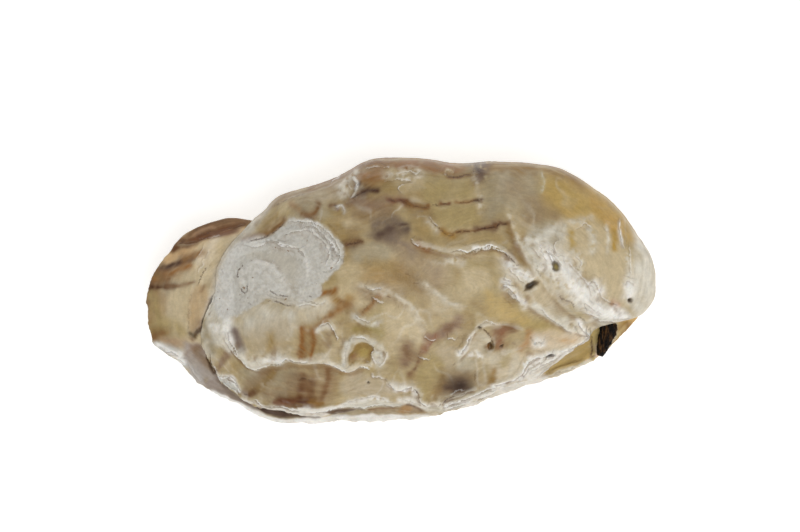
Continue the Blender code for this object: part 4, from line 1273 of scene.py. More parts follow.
# %% Growth stripes and stains
STAINS = [
    # The back rim and flank.
    ([-31.4, 14.3, -30.1, 16.5, -27, 19.1, -23.6, 20.4, -18.8, 22.1, -14.1, 24.3, -11.1, 26.4], 0.7, BARK,
      0.7),
    ([-11.1, 26.6, -7.6, 27.6, -3.7, 27.3, -0.7, 27.3, 4.1, 27.7, 7.5, 27.1, 12.7, 26.6], 1.2, RUST, 0.8),
    ([-1.1, 26.8, 2.3, 26.8, 6.2, 26.2, 9.7, 25.8, 13.1, 26.2], 0.7, RUST, 0.75),
    ([19.2, 26.8, 25.7, 26.6, 31.1, 26.4, 36, 25.1, 39.5, 23], 1.5, pigment(138, 104, 44), 0.85),
    ([39.9, 23, 42.9, 19.9, 46, 16.9, 48.6, 13.9], 0.9, GOLD, 0.7),
    ([-34, 10.6, -32.2, 11.3, -29.6, 12.4, -27, 13.9, -25.3, 15.2], 0.8, NUT, 0.9),
    ([-30.7, 13.2, -29, 14.8, -26.8, 16.7], 0.8, TAN, 0.7),
    ([-21, 16.5, -19.7, 16, -18.4, 16.7, -17.5, 18.2], 0.7, UMBER, 0.9),
    ([-23.6, 18.2, -21.9, 17.3], 0.7, TOFFEE, 0.6),
    ([-15.2, 18.2, -14.1, 18.2, -13.7, 17.3], 0.5, pigment(118, 86, 60), 0.8),
    # The honey patch and the dark stripes behind the middle.
    ([-8.5, 24.3, -6.7, 24.3, -5, 24.7], 1.6, RUST, 0.8),
    ([-10.6, 19.7, -8.9, 20.8, -7.6, 21.4], 0.8, SEPIA, 0.8),
    ([-8, 21.4, -6.7, 21.7, -5, 21.4], 0.6, DARK_BROWN, 0.95),
    ([-9.5, 21.9, -8.7, 22.7], 0.5, pigment(64, 50, 44), 0.9),
    ([-11.9, 18.6, -9.8, 19.1, -7.6, 18.6], 1, FAWN, 0.6),
    ([-2.9, 19.6, -1.6, 19.2, -0.3, 19.5, 1, 19.1], 0.75, CHESTNUT, 0.95),
    ([1.5, 18.6, 3, 18, 4.5, 17.7, 5.8, 18], 0.6, UMBER, 0.9),
    ([8.4, 18.9, 9.5, 18.7, 10.3, 18.9], 0.55, CHESTNUT, 0.85),
    ([11, 19, 13.6, 19.1, 16.2, 19.4], 0.4, TOFFEE, 0.7),
    ([16, 19.4, 17, 19.3], 0.5, DARK_BROWN, 0.9),
    ([8.6, 13, 9.9, 11.9, 11, 11.7], 0.8, HONEY, 0.95),
    ([11.2, 12.2, 13.1, 12.6, 15.7, 12.7], 0.5, UMBER, 0.8, 0.15),
    ([16.4, 13.2, 18.3, 13.3, 20.3, 13.6], 0.7, pigment(92, 58, 42), 0.95),
    ([20, 13.9, 21.1, 14.4, 23.1, 14.5], 0.8, WALNUT, 0.95),
    ([9.7, 25.1, 10.5, 24.4, 12.7, 24.5, 15.3, 24.9], 0.4, NUT, 0.85),
    ([15.7, 27.7, 17.5, 27.3, 17.5, 25.6, 16.4, 24.3], 1.5, SEPIA, 0.9, 0.05),
    ([15.9, 26.8, 17.2, 25.6], 0.8, PLUM, 0.8, 0.15),
]
print("stains so far:", len(STAINS))

# %% More stains: the dark patch beside the chalk and the middle
STAINS += [
    ([-11.5, 9.9, -10.2, 10.2, -8.7, 10.4], 0.9, WALNUT, 0.9),
    ([-4.6, 12.2, -2.4, 13, -0.3, 13.9, 0.8, 13.7], 1.4, PEAT, 0.9),
    ([-6.3, 14.3, -3.7, 14.8, -1.1, 14.8], 1.2, SMOKE, 0.7),
    ([-2, 10.9, 0.6, 10, 2.3, 8.7], 1.5, pigment(132, 114, 98), 0.65),
    ([3.6, 10, 4.9, 8.9, 5.8, 8.3], 0.7, RUST, 0.8),
    ([-0.7, 3.1, 1.9, 1.8, 4.1, 0.9], 1.6, BARK, 0.7),
    ([-7.6, 6.1, -4.6, 5.7, -2, 4.8], 1.2, TAN, 0.6),
    ([-8.3, -4.7, -6.7, -3.2, -5, -1.2], 0.7, RUST, 0.8),
    ([-17.3, -0.8, -15.8, -0.4, -14.3, 0.1], 0.8, RUST, 0.95),
    ([-14.1, -2.1, -12.4, -3, -11.1, -1.7], 1.1, HONEY, 0.8),
    ([-12.8, -2.5, -11.1, -3.4], 0.7, NUT, 0.7),
    ([-19.3, -9, -17.5, -7.5, -16, -6, -14.1, -4.5, -11.9, -3], 0.85, TOFFEE, 0.9),
    ([-11.5, -4.7, -9.8, -5.1, -8.5, -4.7], 0.8, BARK, 0.7),
    # The front left.
    ([-21.2, -8.1, -21.3, -11.2, -21.4, -14.4], 0.8, RUST, 0.95),
    ([-18.9, -9.2, -18.9, -12, -19.2, -14.6], 0.6, RUST, 0.95),
    ([-15.8, -9.2, -15.5, -10.7, -15.6, -12.2], 0.6, CLAY, 0.7),
    ([-27.7, -9.7, -28.1, -11.8, -29.2, -14], 1, TAN, 0.8),
    ([-35.9, -8.8, -35.3, -10.7, -34.2, -12.9], 0.9, pigment(120, 104, 94), 0.8),
    ([-36.8, -13.1, -37.8, -14.4, -38.9, -15.9, -40, -17.2], 0.8, TAUPE, 0.85),
    ([-34.2, -22.2, -32.7, -21.8, -30.5, -21.1, -28.8, -19.6, -27.7, -17.9], 1.1, BARK, 0.85),
    ([-34, -22, -33.1, -22.4, -32, -22], 0.9, WALNUT, 0.9),
    ([-21, -18.5, -21.4, -21.1, -22.1, -24.1], 1.3, pigment(106, 70, 40), 0.9),
    ([-19.1, -19.2, -19.5, -21.1, -20.1, -24.1], 1.1, pigment(116, 82, 50), 0.85),
    ([-26, -23.9, -23.2, -23.9, -20.1, -24.2], 1.4, pigment(86, 50, 26), 0.95),
    ([-27.5, -23.9, -25.3, -24.1, -23.2, -24.3], 0.8, CHESTNUT, 0.85),
    ([-15.6, -17.2, -15.8, -19.2, -16.5, -21.1, -17.3, -23.7], 0.9, pigment(122, 88, 56), 0.85),
    ([-19.3, -24.3, -18, -24.6, -16.9, -24.3], 1, pigment(132, 96, 44), 0.85),
]
print("stains so far:", len(STAINS))

# %% More stains: the front right
STAINS += [
    ([12.5, -6, 11.6, -7.5, 9.9, -8.4, 8.4, -9.4, 6.2, -10.1], 1.2, TAUPE, 0.9),
    ([11, -7.3, 9.9, -8.6], 0.8, FAWN, 0.8),
    ([7.5, -9.4, 6.2, -11, 4.7, -12.7], 0.9, pigment(146, 106, 78), 0.9),
    ([15.7, -3, 16.8, -3.4, 17.5, -4.3], 1.1, TAN, 0.8),
    ([14, -4.7, 15.3, -5.6, 14.4, -7.3], 1, TAN, 0.7),
    ([1.5, -11.4, 1, -13.3, 0.6, -15.5], 1.4, TAUPE, 0.85),
    ([0.8, -12.2, 1.5, -13.8], 0.8, FAWN, 0.8),
    ([3.6, -14.6, 3, -16.4, 1.7, -18.1], 0.8, FAWN, 0.85),
    ([9.2, -18.9, 8.4, -21.1, 7.5, -22.8], 0.9, BARK, 0.7),
    ([24.4, -8.3, 22.2, -8.3, 20.9, -9], 1, FAWN, 0.9),
    ([21.8, -8.6, 21.1, -10.3, 20.8, -11.8], 1.3, pigment(140, 100, 72), 0.9),
    ([27.6, -9.2, 27, -10.7, 25.7, -12.2], 0.9, pigment(170, 132, 86), 0.9),
    ([23.5, -12.9, 22.6, -14.4, 21.8, -15.9], 0.9, KHAKI, 0.7),
    ([20, -17.4, 19.6, -18.5, 19.4, -19.8], 1, pigment(148, 118, 70), 0.9),
    ([34.7, -10.7, 36, -11, 37.3, -11.2], 0.9, APRICOT, 0.7),
    ([9.7, -21.1, 11.8, -21.5, 14.9, -21.3], 0.8, PEAT, 0.85),
    ([8.4, -23.3, 11, -22.8, 14, -22.4, 17, -22], 1, DUST, 0.7),
    ([9.2, -24.1, 11, -23.5], 0.5, pigment(128, 104, 82), 0.7),
    ([18.3, -11.8, 19.2, -12.5, 19.8, -11.8], 0.7, pigment(112, 92, 58), 0.9),
]
print("stains so far:", len(STAINS))

# %% More stains: the hinge end and the early disc
STAINS += [
    ([36.7, 12.6, 36.7, 10.9, 37.1, 9.4], 0.8, STRAW, 0.9),
    ([46, 13, 46, 10.9, 45.7, 8.9], 0.6, GOLD, 0.9),
    ([33.9, -1, 34.7, -2.1, 35.6, -2.5], 0.8, STONE, 0.8),
    ([45.5, -2.7, 46.6, -3.2], 0.7, pigment(180, 136, 104), 0.85),
    ([23.1, 13.5, 24.1, 10.9, 25.2, 7.8, 26.5, 5.7], 1.1, BARK, 0.9),
    ([-26.2, -2.1, -24, -2.7, -21.9, -3.4], 0.7, ASH, 0.6),
]
brush(tint, bent, STAINS, 0.35 * combed)
glaze(tint, spot(bent, (12.5, -19.8), (3.6, 2.6), 15), pigment(92, 68, 54), 0.85)
glaze(tint, spot(bent, (12.7, -20.5), (2.5, 1.4), 5), pigment(52, 36, 30), 0.85)
print("stripes and stains:", len(STAINS))

# %% Chalk and terraces
glaze(tint, chalk_patch, CHALK, 0.9)
glaze(tint, hollow, pigment(188, 180, 163), 0.7)
CHALK_BORDER = [-40.9, -2.1, -40, 2.2, -38.7, 6.1, -36.1, 10, -30.1, 11.7, -30.1, 9.6, -34.8, 7.8,
    -36.5, 2.2, -36.1, -4.7, -39.1, -6]
glaze(tint, area(bent, CHALK_BORDER, 1.0), pigment(230, 228, 222), 0.75)
glaze(tint, spot(bent, (-26, -2.1), (4.5, 0.9), 0), BEIGE, 0.7)
glaze(tint, grainy * smoothstep(-0.3, 0.4, rough(plan, 1.2, 117, 2)), WHITE, 0.3)
# The crests of the terraces are painted pale pearl: partly their pale broken edges, partly painted
# highlight.
for mask in terraces:
    glaze(tint, smoothstep(0.4, 1.0, mask) * smoothstep(-0.5, 0.3, noise(plan, 1.6, 161)), PEARL, 0.6)
print("share of the valve that is chalky:", round(float(chalk_patch.mean()), 2))

# %% White edges and the worn ring
# The climb behind each sheet edge is painted pale pearl, partly the sheet's own pale colour and partly
# painted sheen.
for mask, shine in edges:
    glow = smoothstep(0.72, 1.0, mask) * smoothstep(-0.5, 0.5, noise(bent, 3.0, 165))
    glaze(tint, glow, PEARL, 0.6 * shine)
brush(tint, bent, WHITE_STROKES, 0.5 * crumbs)
glaze(tint, ring_floor, pigment(168, 144, 84), 0.95)
glaze(tint, spot(bent, (-10.3, -14.2), (0.8, 0.7)), RUST, 0.8)
glaze(tint, spot(bent, (-8.9, -15.3), (1.8, 0.7)), CREAM, 0.6)
RING_SHADE = [-11.1, -9, -8.9, -8.1, -6.7, -8.1, -4.8, -8.8, -3.5, -10.5]
glaze(tint, line(bent, RING_SHADE, 0.8), OLIVE, 0.75)
print("white strokes:", len(WHITE_STROKES))

# %% The rims
# Pale pearl along the front lip: partly the lip's own pale colour, partly painted light where the thin lip
# is lit through from below.
glaze(tint, rim * front_lip * smoothstep(-0.35, 0.3, rough(plan, 3, 121, 2)), PEARL, 0.4)
left_lip = smoothstep(-0.5, -0.75, np.cos(angle)) * (1 - front_lip)
glaze(tint, smoothstep(0.9, 0.97, share_out) * left_lip, pigment(216, 208, 192), 0.7)
# The back rim is painted darker brown: partly its own colour, partly painted shade where its steep slope
# turns away from the light.
back_rim = smoothstep(0.84, 0.96, share_out) * (1 - front_lip) * (1 - left_lip)
back_rim *= smoothstep(-0.6, 0.1, rough(plan, 5, 125, 2)) * smoothstep(42, 34, plan[:, 0])
towards_hinge = smoothstep(-6, 8, plan[:, 0])
glaze(tint, back_rim * (1 - towards_hinge), pigment(128, 92, 44), 0.85)
glaze(tint, back_rim * towards_hinge, pigment(154, 124, 68), 0.7)
glaze(tint, back_rim * smoothstep(0.2, 1.0, layers + 0.4 * combed), UMBER, 0.35)
glaze(tint, back_rim * smoothstep(0.3, 1.0, 0.4 * combed - layers), CREAM, 0.35)
print("mean tone with its rims:", tint.mean(axis=0).round(2))

# %% The torn lip, painted light and shade on the relief, and the holes
wash(tint, bent, LIP_FIELDS, 0.2 * combed)
brush(tint, bent, LIP_STAINS, 0.3 * combed)
stained = spot(bent, (-21.9, -22), (6.0, 3.5))
# Painted highlight on the crests of the relief, except on the stained patch, and painted shade in its
# hollows.
glaze(tint, smoothstep(0.02, 0.12, relief) * (1 - stained), PEARL, 0.35)
glaze(tint, smoothstep(-0.02, -0.14, relief), UMBER, 0.45)
# The bored holes are painted nearly black: painted shade inside the pits.
glaze(tint, holes, PIT_SHADE, 0.9)
glaze(tint, spot(plan, (18.7, -12.1), (0.55, 0.6), 0), RUST, 0.8)
glaze(tint, spot(plan, (33.3, 5), (0.5, 0.8), 25), OLIVE, 0.9)
print("mean tone of the upper valve:", tint.mean(axis=0).round(2))

# %% What the shell finish will need
inside = upper_form[upper_top:, :2]
terrace_lines = [(path, 0.8) for path, height, behind in TERRACES]
# Distances to the white sheet edges, which the finish draws with a painted highlight on their high side and
# painted shade on their low side.
edge_side, edge_strength = closest(crinkled, WHITE_LINES + terrace_lines)
stain_side, stain_strength = closest(bent, GROWTH_LINES)
upper_looks = {
    "tint": np.vstack([tint, np.tile(pigment(214, 208, 196), (len(inside), 1))]),
    "flow": np.vstack([flow, growth_flow(*polar(inside)[::-1])]),
    "chalk": fill_up(chalk_patch * (1 - 0.75 * hollow), len(inside)),
    "edge_side": fill_up(edge_side, len(inside), STROKE_REACH),
    "edge_strength": fill_up(edge_strength, len(inside)),
    "stain_side": fill_up(stain_side, len(inside), STROKE_REACH),
    "stain_strength": fill_up(stain_strength, len(inside)),
}
upper = press("upper_valve_finished", upper_bm, upper_places, upper_looks)

# %% [markdown]
# ## The lower valve: its plain form
#
# The lower valve is a shallow cup with a broad flat rim that the upper valve sits on. At the left it runs
# out past the upper valve as a rolled lobe, at the front as a narrow band, and at the hinge it falls away
# like a wedge. Its underside narrows to a flat scar, where the animal was once fixed to something.
#
# A place on this valve is told by one number: 0 in the middle, 1 at the start of the seat, 2 at the margin.
# Only the rim is seen from above in a closed shell, so most rings of the upper sheet are kept for it.

# %% Seat and rim of the lower valve


def lip_level(plan):
    """Top of the lower valve's seat and rim at any place in plan."""
    angle, radius = polar(plan)
    past = (radius - read_round(UPPER_MARGIN, angle)) * stretch(angle)
    away = ((plan - (43, -12)) / (13, 9)) ** 2
    wedge = smoothstep(-4, 2, past) * np.exp(-away.sum(axis=1))
    return seam(plan) - 2.8 * wedge - 2.4 * (np.maximum(past, 0) / 15) ** 1.6


def lower_plan(angle, place):
    """Points in plan at a place from 0 in the middle through 1 on the seat to 2 on the margin."""
    seat = read_round(SEAT, angle)
    rim = seat + (read_round(LOWER_MARGIN, angle) - seat) * (place - 1)
    inner = spread(SEAT, angle, np.minimum(place, 1))
    return np.where((place < 1)[:, None], inner, plan_at(angle, rim))


def stretch_rings(radius, seat_ring, lip):
    """Turn the radius on the blank into a place from 0 to 2, with the seat at the ring given."""
    inside = radius / seat_ring
    outside = 1 + (radius - seat_ring) / (lip - seat_ring)
    return np.clip(np.where(radius < seat_ring, inside, outside), 0, 2)


# %% Form of the lower valve
LOWER_CELLS = (260, 190)
LOWER_UNDER_CELLS = (230, 180)
SEAT_RING_ABOVE = 0.3
SEAT_RING_BELOW = 0.7


def lower_top(corners):
    """The hollow inside, the seat and the rim of the lower valve, with its rounded lip."""
    angle, radius = disc(corners)
    place = stretch_rings(radius, SEAT_RING_ABOVE, LIP_START)
    plan = lower_plan(angle, place)
    brim = lip_level(plan_at(angle, read_round(SEAT, angle)))
    cup = LOWER_WALL + (brim - LOWER_WALL) * np.minimum(place, 1) ** 4
    height = np.where(place < 1, cup, lip_level(plan))
    step, down = rounded_lip(angle, radius, place / 2, 5)
    return np.column_stack([plan + step, height - down * LIP_THICKNESS])


def lower_under(corners):
    """The outside of the lower valve, down to its flat scar."""
    angle, radius = disc(corners)
    place = stretch_rings(radius, SEAT_RING_BELOW, 1.0)
    plan = lower_plan(angle, place)
    brim = lip_level(plan_at(angle, read_round(SEAT, angle))) - SEAT_THICKNESS
    climb = np.clip((place - SCAR_SHARE) / (1 - SCAR_SHARE), 0, 1)
    thickness = SEAT_THICKNESS + (LIP_THICKNESS - SEAT_THICKNESS) * (place - 1)
    height = np.where(place < 1, brim * climb**1.7, lip_level(plan) - thickness)
    plan = plan + outwards(angle) * (ragged(angle, place / 2, 5) - 0.15)[:, None]
    return np.column_stack([plan, height])


lower_bm, corners, lower_top_count = blank(LOWER_CELLS, LOWER_UNDER_CELLS)
top_corners, under_corners = corners[:lower_top_count], corners[lower_top_count:]
lower_form = np.vstack([lower_top(top_corners), lower_under(under_corners)])
lower_normals = normals_of(lower_bm, lower_form)
print("lower valve:", len(lower_form), "points, plain size", np.ptp(lower_form, axis=0).round(1), "mm")

# %% [markdown]
# ## The lower valve: relief and colour of its rim
#
# The lobe at the left carries the newest growth. Its sheets fold over each other along its back edge, where
# they are stained dark brown, and its middle is cream. A silvery frill and a mauve-grey band run along the
# front.

# %% Folds of the rim
plan = lower_form[:lower_top_count, :2]
_, radius = disc(top_corners)
place = stretch_rings(radius, SEAT_RING_ABOVE, LIP_START)
shown = smoothstep(1.1, 1.35, place)
bent = bend(bend(plan, 4.0, 0.3, 205), 1.4, 0.2, 207)
crinkled = bend(bent, 0.8, 0.13, 209)
lift = 0.12 * rough(plan, 7, 211, 2) + 0.02 * rough(plan, 2.0, 213, 2)
RIM_EDGES = [
    ([-32.9, 14.5, -34.8, 13.5, -39.1, 12.4, -42.2, 10.9, -45.6, 9.8, -49.5, 9.4], 0.4, 1.6),
    ([-42.8, 8.1, -45.6, 7, -49.3, 5.7, -52.1, 4.8], 0.15, 1.5),
    ([-45.8, -8.6, -45.7, -4.5, -45.2, 1.1, -44.1, 6.1, -41.7, 10.9], 0.1, 1.6),
    ([-43.7, 0.9, -42.4, 4.8, -40.7, 9.1], 0.2, 1),
    ([-54.3, -10.7, -52.1, -11.6, -49.5, -12.9, -47.3, -14.4], 0.2, 1.6),
    ([-46.5, -13.3, -45.2, -15.5, -43.5, -18.1, -41.3, -20.2], 0.25, 1.6),
    ([-32.7, -26.1, -28.3, -27.2, -21.9, -27.8, -13.2, -27.2, -2.4, -26.9, 4.1, -26.5], 0.2, 1.2),
    ([30, -19.2, 35.6, -16.4, 40.3, -14.2, 43.4, -13.5], 0.2, 1),
]
for path, height, behind in RIM_EDGES:
    lift += ledge(bent, path, behind, 0.35) * height
print("folds on the rim:", len(RIM_EDGES))

# %% Crack, crevice and leaves of the rim
crack = line(bent, [-41.9, -14.2, -41.3, -15.9, -40.2, -18.3], 0.35)
crevice = line(crinkled, [-45.2, -10.1, -43.7, -8.8, -42.6, -6.8, -41.5, -3.4, -40.7, -0.8], 0.38)
lift -= 0.3 * crack + 0.5 * crevice
angle, _ = polar(plan)
edge_reach = (2 - place) * (read_round(LOWER_MARGIN, angle) - read_round(SEAT, angle))
edge_reach = edge_reach * stretch(angle)
leaves = np.sin(2 * math.pi * (edge_reach + 0.8 * rough(plan, 6, 217, 2)) / 0.9)
lift += 0.008 * leaves * smoothstep(-0.6, 0.5, noise(plan, 7, 219))
rim_flow = growth_flow(edge_reach, angle)
leaf_streaks = rough(rim_flow * (1, 0.15, 0.15), 0.9, 221, 2)
lift *= shown
rim_relief = lift - soften(lift, LOWER_CELLS, 10)
print("relief of the rim from", lift.min().round(2), "to", lift.max().round(2), "mm")

# %% Colours of the rim
rim_tint = np.tile(pigment(190, 174, 144), (lower_top_count, 1))
glaze(rim_tint, smoothstep(0.0, 0.9, rough(plan, 6, 223, 3)), TAN, 0.5)
glaze(rim_tint, 0.5 + 0.5 * leaves, CREAM, 0.12)
RIM_FIELDS = [
    # The lobe, from its reddish brown back edge down to its cream middle.
    ([-52.1, 6.1, -49.5, 9.1, -44.3, 13.9, -40.4, 16.5, -30.5, 16.5, -34.8, 12.6, -40, 10.9, -43.2, 9.1,
      -48.2, 7, -50.8, 5.2], 0.8, APRICOT, 0.9),
    ([-50.8, 8.3, -48.2, 10.9, -45.2, 13.5, -41.5, 16.3, -34.8, 16.5, -32, 15, -34.2, 13.7, -35.9, 12.4,
      -39.1, 11.5, -42.4, 10.6, -45.6, 9.4, -49.1, 8.6], 0.5, FAWN, 1),
    ([-53.8, 2.9, -51.8, 5.2, -48.2, 6.7, -43.2, 7.7, -42.8, 7.2, -46.1, 5.8, -49.5, 4.6, -52.5, 2.9], 0.4,
      FAWN, 0.95),
    ([-56.4, 6.1, -53.4, 6.1, -50.8, 4, -46.5, 5.2, -46.5, 4, -50.4, 2.2, -52.1, 0.1, -50.8, -2.1,
      -53, -7.7, -56, -7.7], 1.4, pigment(150, 120, 82), 0.9),
    ([-56.4, 6.1, -53.4, 5.7, -52.7, 2.7, -53.4, -2.1, -54.3, -3.8, -56.4, -3.8], 0.9, FAWN, 0.85),
    ([-49.9, -0.4, -46.5, 1.8, -44.8, 1.4, -45.2, -6.4, -46.5, -9.4, -49.5, -7.7, -50.4, -3], 1.4, CREAM,
      0.7),
    ([-53.8, -6.8, -49.9, -6, -46.9, -8.1, -46.5, -10.3, -49.9, -11.2, -53.8, -10.7], 1.2, KHAKI, 0.8),
    ([-44.3, 9.6, -40, 11.7, -37.8, 10.4, -40, 6.1, -42.2, 1.4, -44.3, 0.1, -45.6, 3.1], 1, CREAM, 0.75),
    ([-45.6, -1.2, -43.9, 1.4, -41.9, 0.1, -42.2, -4.7, -43.9, -8.1, -45.6, -8.6], 0.7, SAND, 0.8),
    ([-54.3, -8.1, -52.1, -7.7, -49.9, -9, -51.2, -10.5, -54.3, -10.7], 0.9, BARK, 0.9),
    ([-53.8, -10.3, -49.5, -10.1, -46.1, -11.2, -45.6, -12.9, -49.5, -12.2, -53.4, -11.8], 0.8,
      pigment(168, 142, 112), 0.85),
    ([-46.5, -9.7, -44.3, -9.2, -42.6, -10.3, -43.5, -12, -46.1, -11.6], 0.6, CREAM, 0.9),
    # The silvery frill, the mauve band and the fringe in front of it.
    ([-54.7, -10.7, -52.5, -11.2, -49.9, -11.8, -47.6, -12.7, -46.3, -14.2, -45.6, -16.4, -47.8, -16.4,
      -51.2, -14.6, -54.3, -12.9], 0.7, CHALK, 0.9),
    ([-50.8, -13.1, -48.6, -13.1, -46.9, -13.8, -46.3, -15.5, -48.2, -15.9, -50.4, -14.6], 0.5, WHITE, 0.9),
    ([-47.3, -11.4, -43.9, -11.6, -41.5, -13.8, -40, -16.8, -38.3, -19.8, -35.7, -22.4, -32.7, -24.1,
      -30.1, -25.4, -33.5, -25.4, -38.1, -23.3, -41.7, -21.5, -44.8, -19.4, -46.5, -15.5], 0.7,
      pigment(162, 150, 140), 0.95),
    ([-46.1, -11.6, -43, -11.8, -41.5, -14.2, -40.4, -16.8, -41.7, -16.8, -43.9, -15.1, -45.6, -13.3], 0.7,
      TAUPE, 0.9),
    ([-46.3, -15.5, -44.5, -16.4, -42.6, -18.9, -43.5, -20.7, -45.6, -18.9], 0.7, pigment(186, 180, 172),
      0.8),
    ([-38.7, -20.7, -35.7, -22.8, -32.7, -24.3, -30.1, -25.6, -31.4, -25.9, -34.4, -24.6, -37.4, -23], 0.4,
      MAUVE, 0.9),
    ([-47.3, -17.4, -45.2, -19.2, -42.6, -21.1, -38.7, -22.5, -34.8, -24.3, -32.2, -25.4, -30.1, -26.3,
      -28.3, -27.2, -26.2, -27.7, -21.9, -27.8, -20.6, -26.7, -15.4, -26.7, -13.2, -26.8, -9.8, -26.9,
      -6.3, -26.7, -0.3, -26.9, 4.1, -26.9, 8.4, -27.2, 4.1, -30.2, -34.8, -30.2], 0.3, WHITE, 0.95),
    # The lower valve's rim under the upper valve's lip: partly its own brown, partly painted shade from the
    # lip.
    ([-30.7, -24.8, -27.9, -25, -24.9, -25.4, -21.4, -26.3, -20.6, -27.6, -23.6, -27.7, -26.2, -27.6,
      -28.3, -26.9, -30.1, -26.1], 0.3, PEAT, 0.95),
]
print("fields so far:", len(RIM_FIELDS))

# %% More fields of the rim: the plate beside the ligament
RIM_FIELDS += [
    ([28.7, -18.9, 33.4, -15.5, 41.2, -9.4, 43.8, -9.9, 43.4, -14.2, 35.6, -16.8, 30, -19.8], 0.6, STRAW,
      0.95),
    ([29.1, -20.2, 35.6, -17.1, 40.3, -14.9, 43.4, -14.4, 45.5, -14.2, 42.9, -16.4, 34.3, -19.8, 30, -22],
      0.4, pigment(232, 222, 200), 0.9),
    ([10.5, -24.6, 17, -22, 23.5, -19.8, 30, -18.1, 31.7, -19.4, 25.7, -22.4, 17, -25.4, 10.5, -27.2], 0.5,
      IVORY, 0.95),
    ([41, -8.6, 43.4, -6.8, 43.8, -10.7, 42.9, -14.6, 41.2, -15.1], 0.25, pigment(206, 182, 122), 0.95),
    ([41.9, -12, 42.7, -11.2, 43.2, -12.9, 42.7, -14.6, 42.1, -14.4], 0.3, pigment(232, 206, 182), 0.9),
    ([45.5, -12.5, 46.8, -9.4, 46.8, -6.8, 50.3, -5.1, 52.4, -6, 49.4, -10.7, 46.8, -14.2], 0.5,
      pigment(206, 178, 122), 0.95),
]
print("fields of the rim:", len(RIM_FIELDS))

# %% Stains of the rim
RIM_STAINS = [
    ([-49.1, 8.9, -45.6, 10.1, -42.2, 11.4, -38.7, 12.2, -35.3, 13.5], 0.7, WALNUT, 0.85),
    ([-47.3, 10.2, -44.3, 11.5, -40.9, 12.6, -37, 13.7, -33.5, 14.3], 0.5, WALNUT, 0.8),
    ([-44.3, 13.2, -40.9, 14.5, -37, 15.3], 0.5, SEPIA, 0.7),
    ([-45.6, 11.7, -42.6, 13, -39.6, 13.9], 0.35, pigment(176, 142, 112), 0.6),
    ([-52.1, 4.6, -49.9, 5.5, -47.8, 6.1, -45.2, 7], 0.9, PLUM, 0.85),
    ([-53.4, 2.4, -51.2, 3.3, -49.1, 4.2, -45.6, 5.2], 0.7, RUST, 0.8),
    ([-46.5, 11.3, -44.3, 10.9, -42.2, 11.2, -40, 11.5], 0.4, CHESTNUT, 0.75),
    ([-43.5, 13.9, -40.4, 14.9, -37.4, 15.3, -34.8, 15], 0.5, FAWN, 0.6),
    ([-53.8, 1.8, -51.7, 2.3, -49.5, 2.9], 0.35, NUT, 0.7),
    ([-54.7, 0.7, -52.5, 0.8, -49.5, 0.9], 0.8, DARK_BROWN, 0.95),
    ([-50.4, 0.9, -47.8, 1.1, -44.8, 2], 0.5, FAWN, 0.75),
    ([-54.3, -10.1, -53, -9.9, -51.5, -9.2], 0.7, NUT, 0.8),
    ([-42.8, 0.9, -43.2, -0.4], 0.5, NUT, 0.7),
    ([-40.9, -2.5, -41.9, -5.7, -43.9, -8.4, -45.4, -10.3], 0.8, FAWN, 0.8),
    ([-52.1, -13.3, -49.9, -14, -47.8, -14.8], 0.3, LINEN, 0.6),
    ([-40, -18.7, -38.3, -20.9, -35.7, -22.8, -33.1, -24.3], 0.5, SMOKE, 0.8),
    ([-42.2, -19.4, -40.9, -20.7, -38.7, -21.8], 0.8, MAUVE, 0.7),
    ([-44.3, -13.3, -42.6, -15.1, -41.3, -16.8], 0.9, pigment(126, 106, 82), 0.7),
    ([-41.7, -13.3, -41.3, -15.1, -40.2, -17.2], 0.4, SEPIA, 0.8),
    # Painted shade: the dark line of the gap under the upper valve's lip.
    ([-31.8, -24.6, -30.1, -25.3, -27.9, -25.4, -25.3, -26.1, -23.4, -26.8], 0.35, pigment(72, 54, 40),
      0.9),
    ([-43.5, -16.8, -41.7, -18.1], 0.8, pigment(170, 160, 150), 0.6),
    ([-52.5, -12, -49.9, -12.9, -47.8, -13.8], 0.5, WHITE, 0.7, 0.2),
    ([-45.6, -9.2, -44.8, -9.7, -44.1, -8.8], 0.6, pigment(86, 72, 44), 0.85),
    ([-53.8, -1.2, -53.2, -3.8, -52.5, -6.4], 1.3, KHAKI, 0.8),
    ([-40, 10.9, -41.5, 8.7, -43.2, 6.1], 1.1, pigment(216, 200, 174), 0.7),
    ([-54.3, 3.1, -53, 3.5, -52.1, 2.7], 0.8, BARK, 0.7),
    ([-46.9, 7, -45, 7.6, -43, 8.2], 0.8, TOFFEE, 0.75),
    ([41.1, -9.9, 41.3, -12.2, 41.2, -14.4, 42.5, -14], 0.3, WALNUT, 0.85),
    ([48.6, -6.4, 49.2, -8.6], 0.4, UMBER, 0.8),
    ([46.8, -8.6, 48.1, -6.8], 0.8, HONEY, 0.7),
    ([49.9, -6.8, 51.1, -6], 0.8, pigment(206, 164, 104), 0.6),
    ([-43.5, 11.3, -40.9, 11.9, -37.4, 13], 0.8, CHESTNUT, 0.8),
    ([-53.8, 4, -52.1, 4, -51.2, 1.8], 1.4, FAWN, 0.6),
    ([-21.2, -27.4, -19.3, -27.6, -17.1, -27.4], 0.2, SMOKE, 0.7),
    ([46.4, -11.6, 48.1, -9.4, 49.6, -7.3], 0.6, AMBER, 0.8),
    ([29.5, -19.4, 34.7, -16.4, 40.3, -14.2], 0.4, BARK, 0.6),
]
print("stains of the rim:", len(RIM_STAINS))

# %% Paint the rim
wash(rim_tint, bent, RIM_FIELDS, 0.15 * leaf_streaks)
brush(rim_tint, bent, RIM_STAINS, 0.3 * leaf_streaks)
# Painted highlight on the crests of the rim's relief and painted shade in its hollows.
glaze(rim_tint, smoothstep(0.03, 0.15, rim_relief), CREAM, 0.3)
glaze(rim_tint, smoothstep(-0.02, -0.14, rim_relief), UMBER, 0.35)
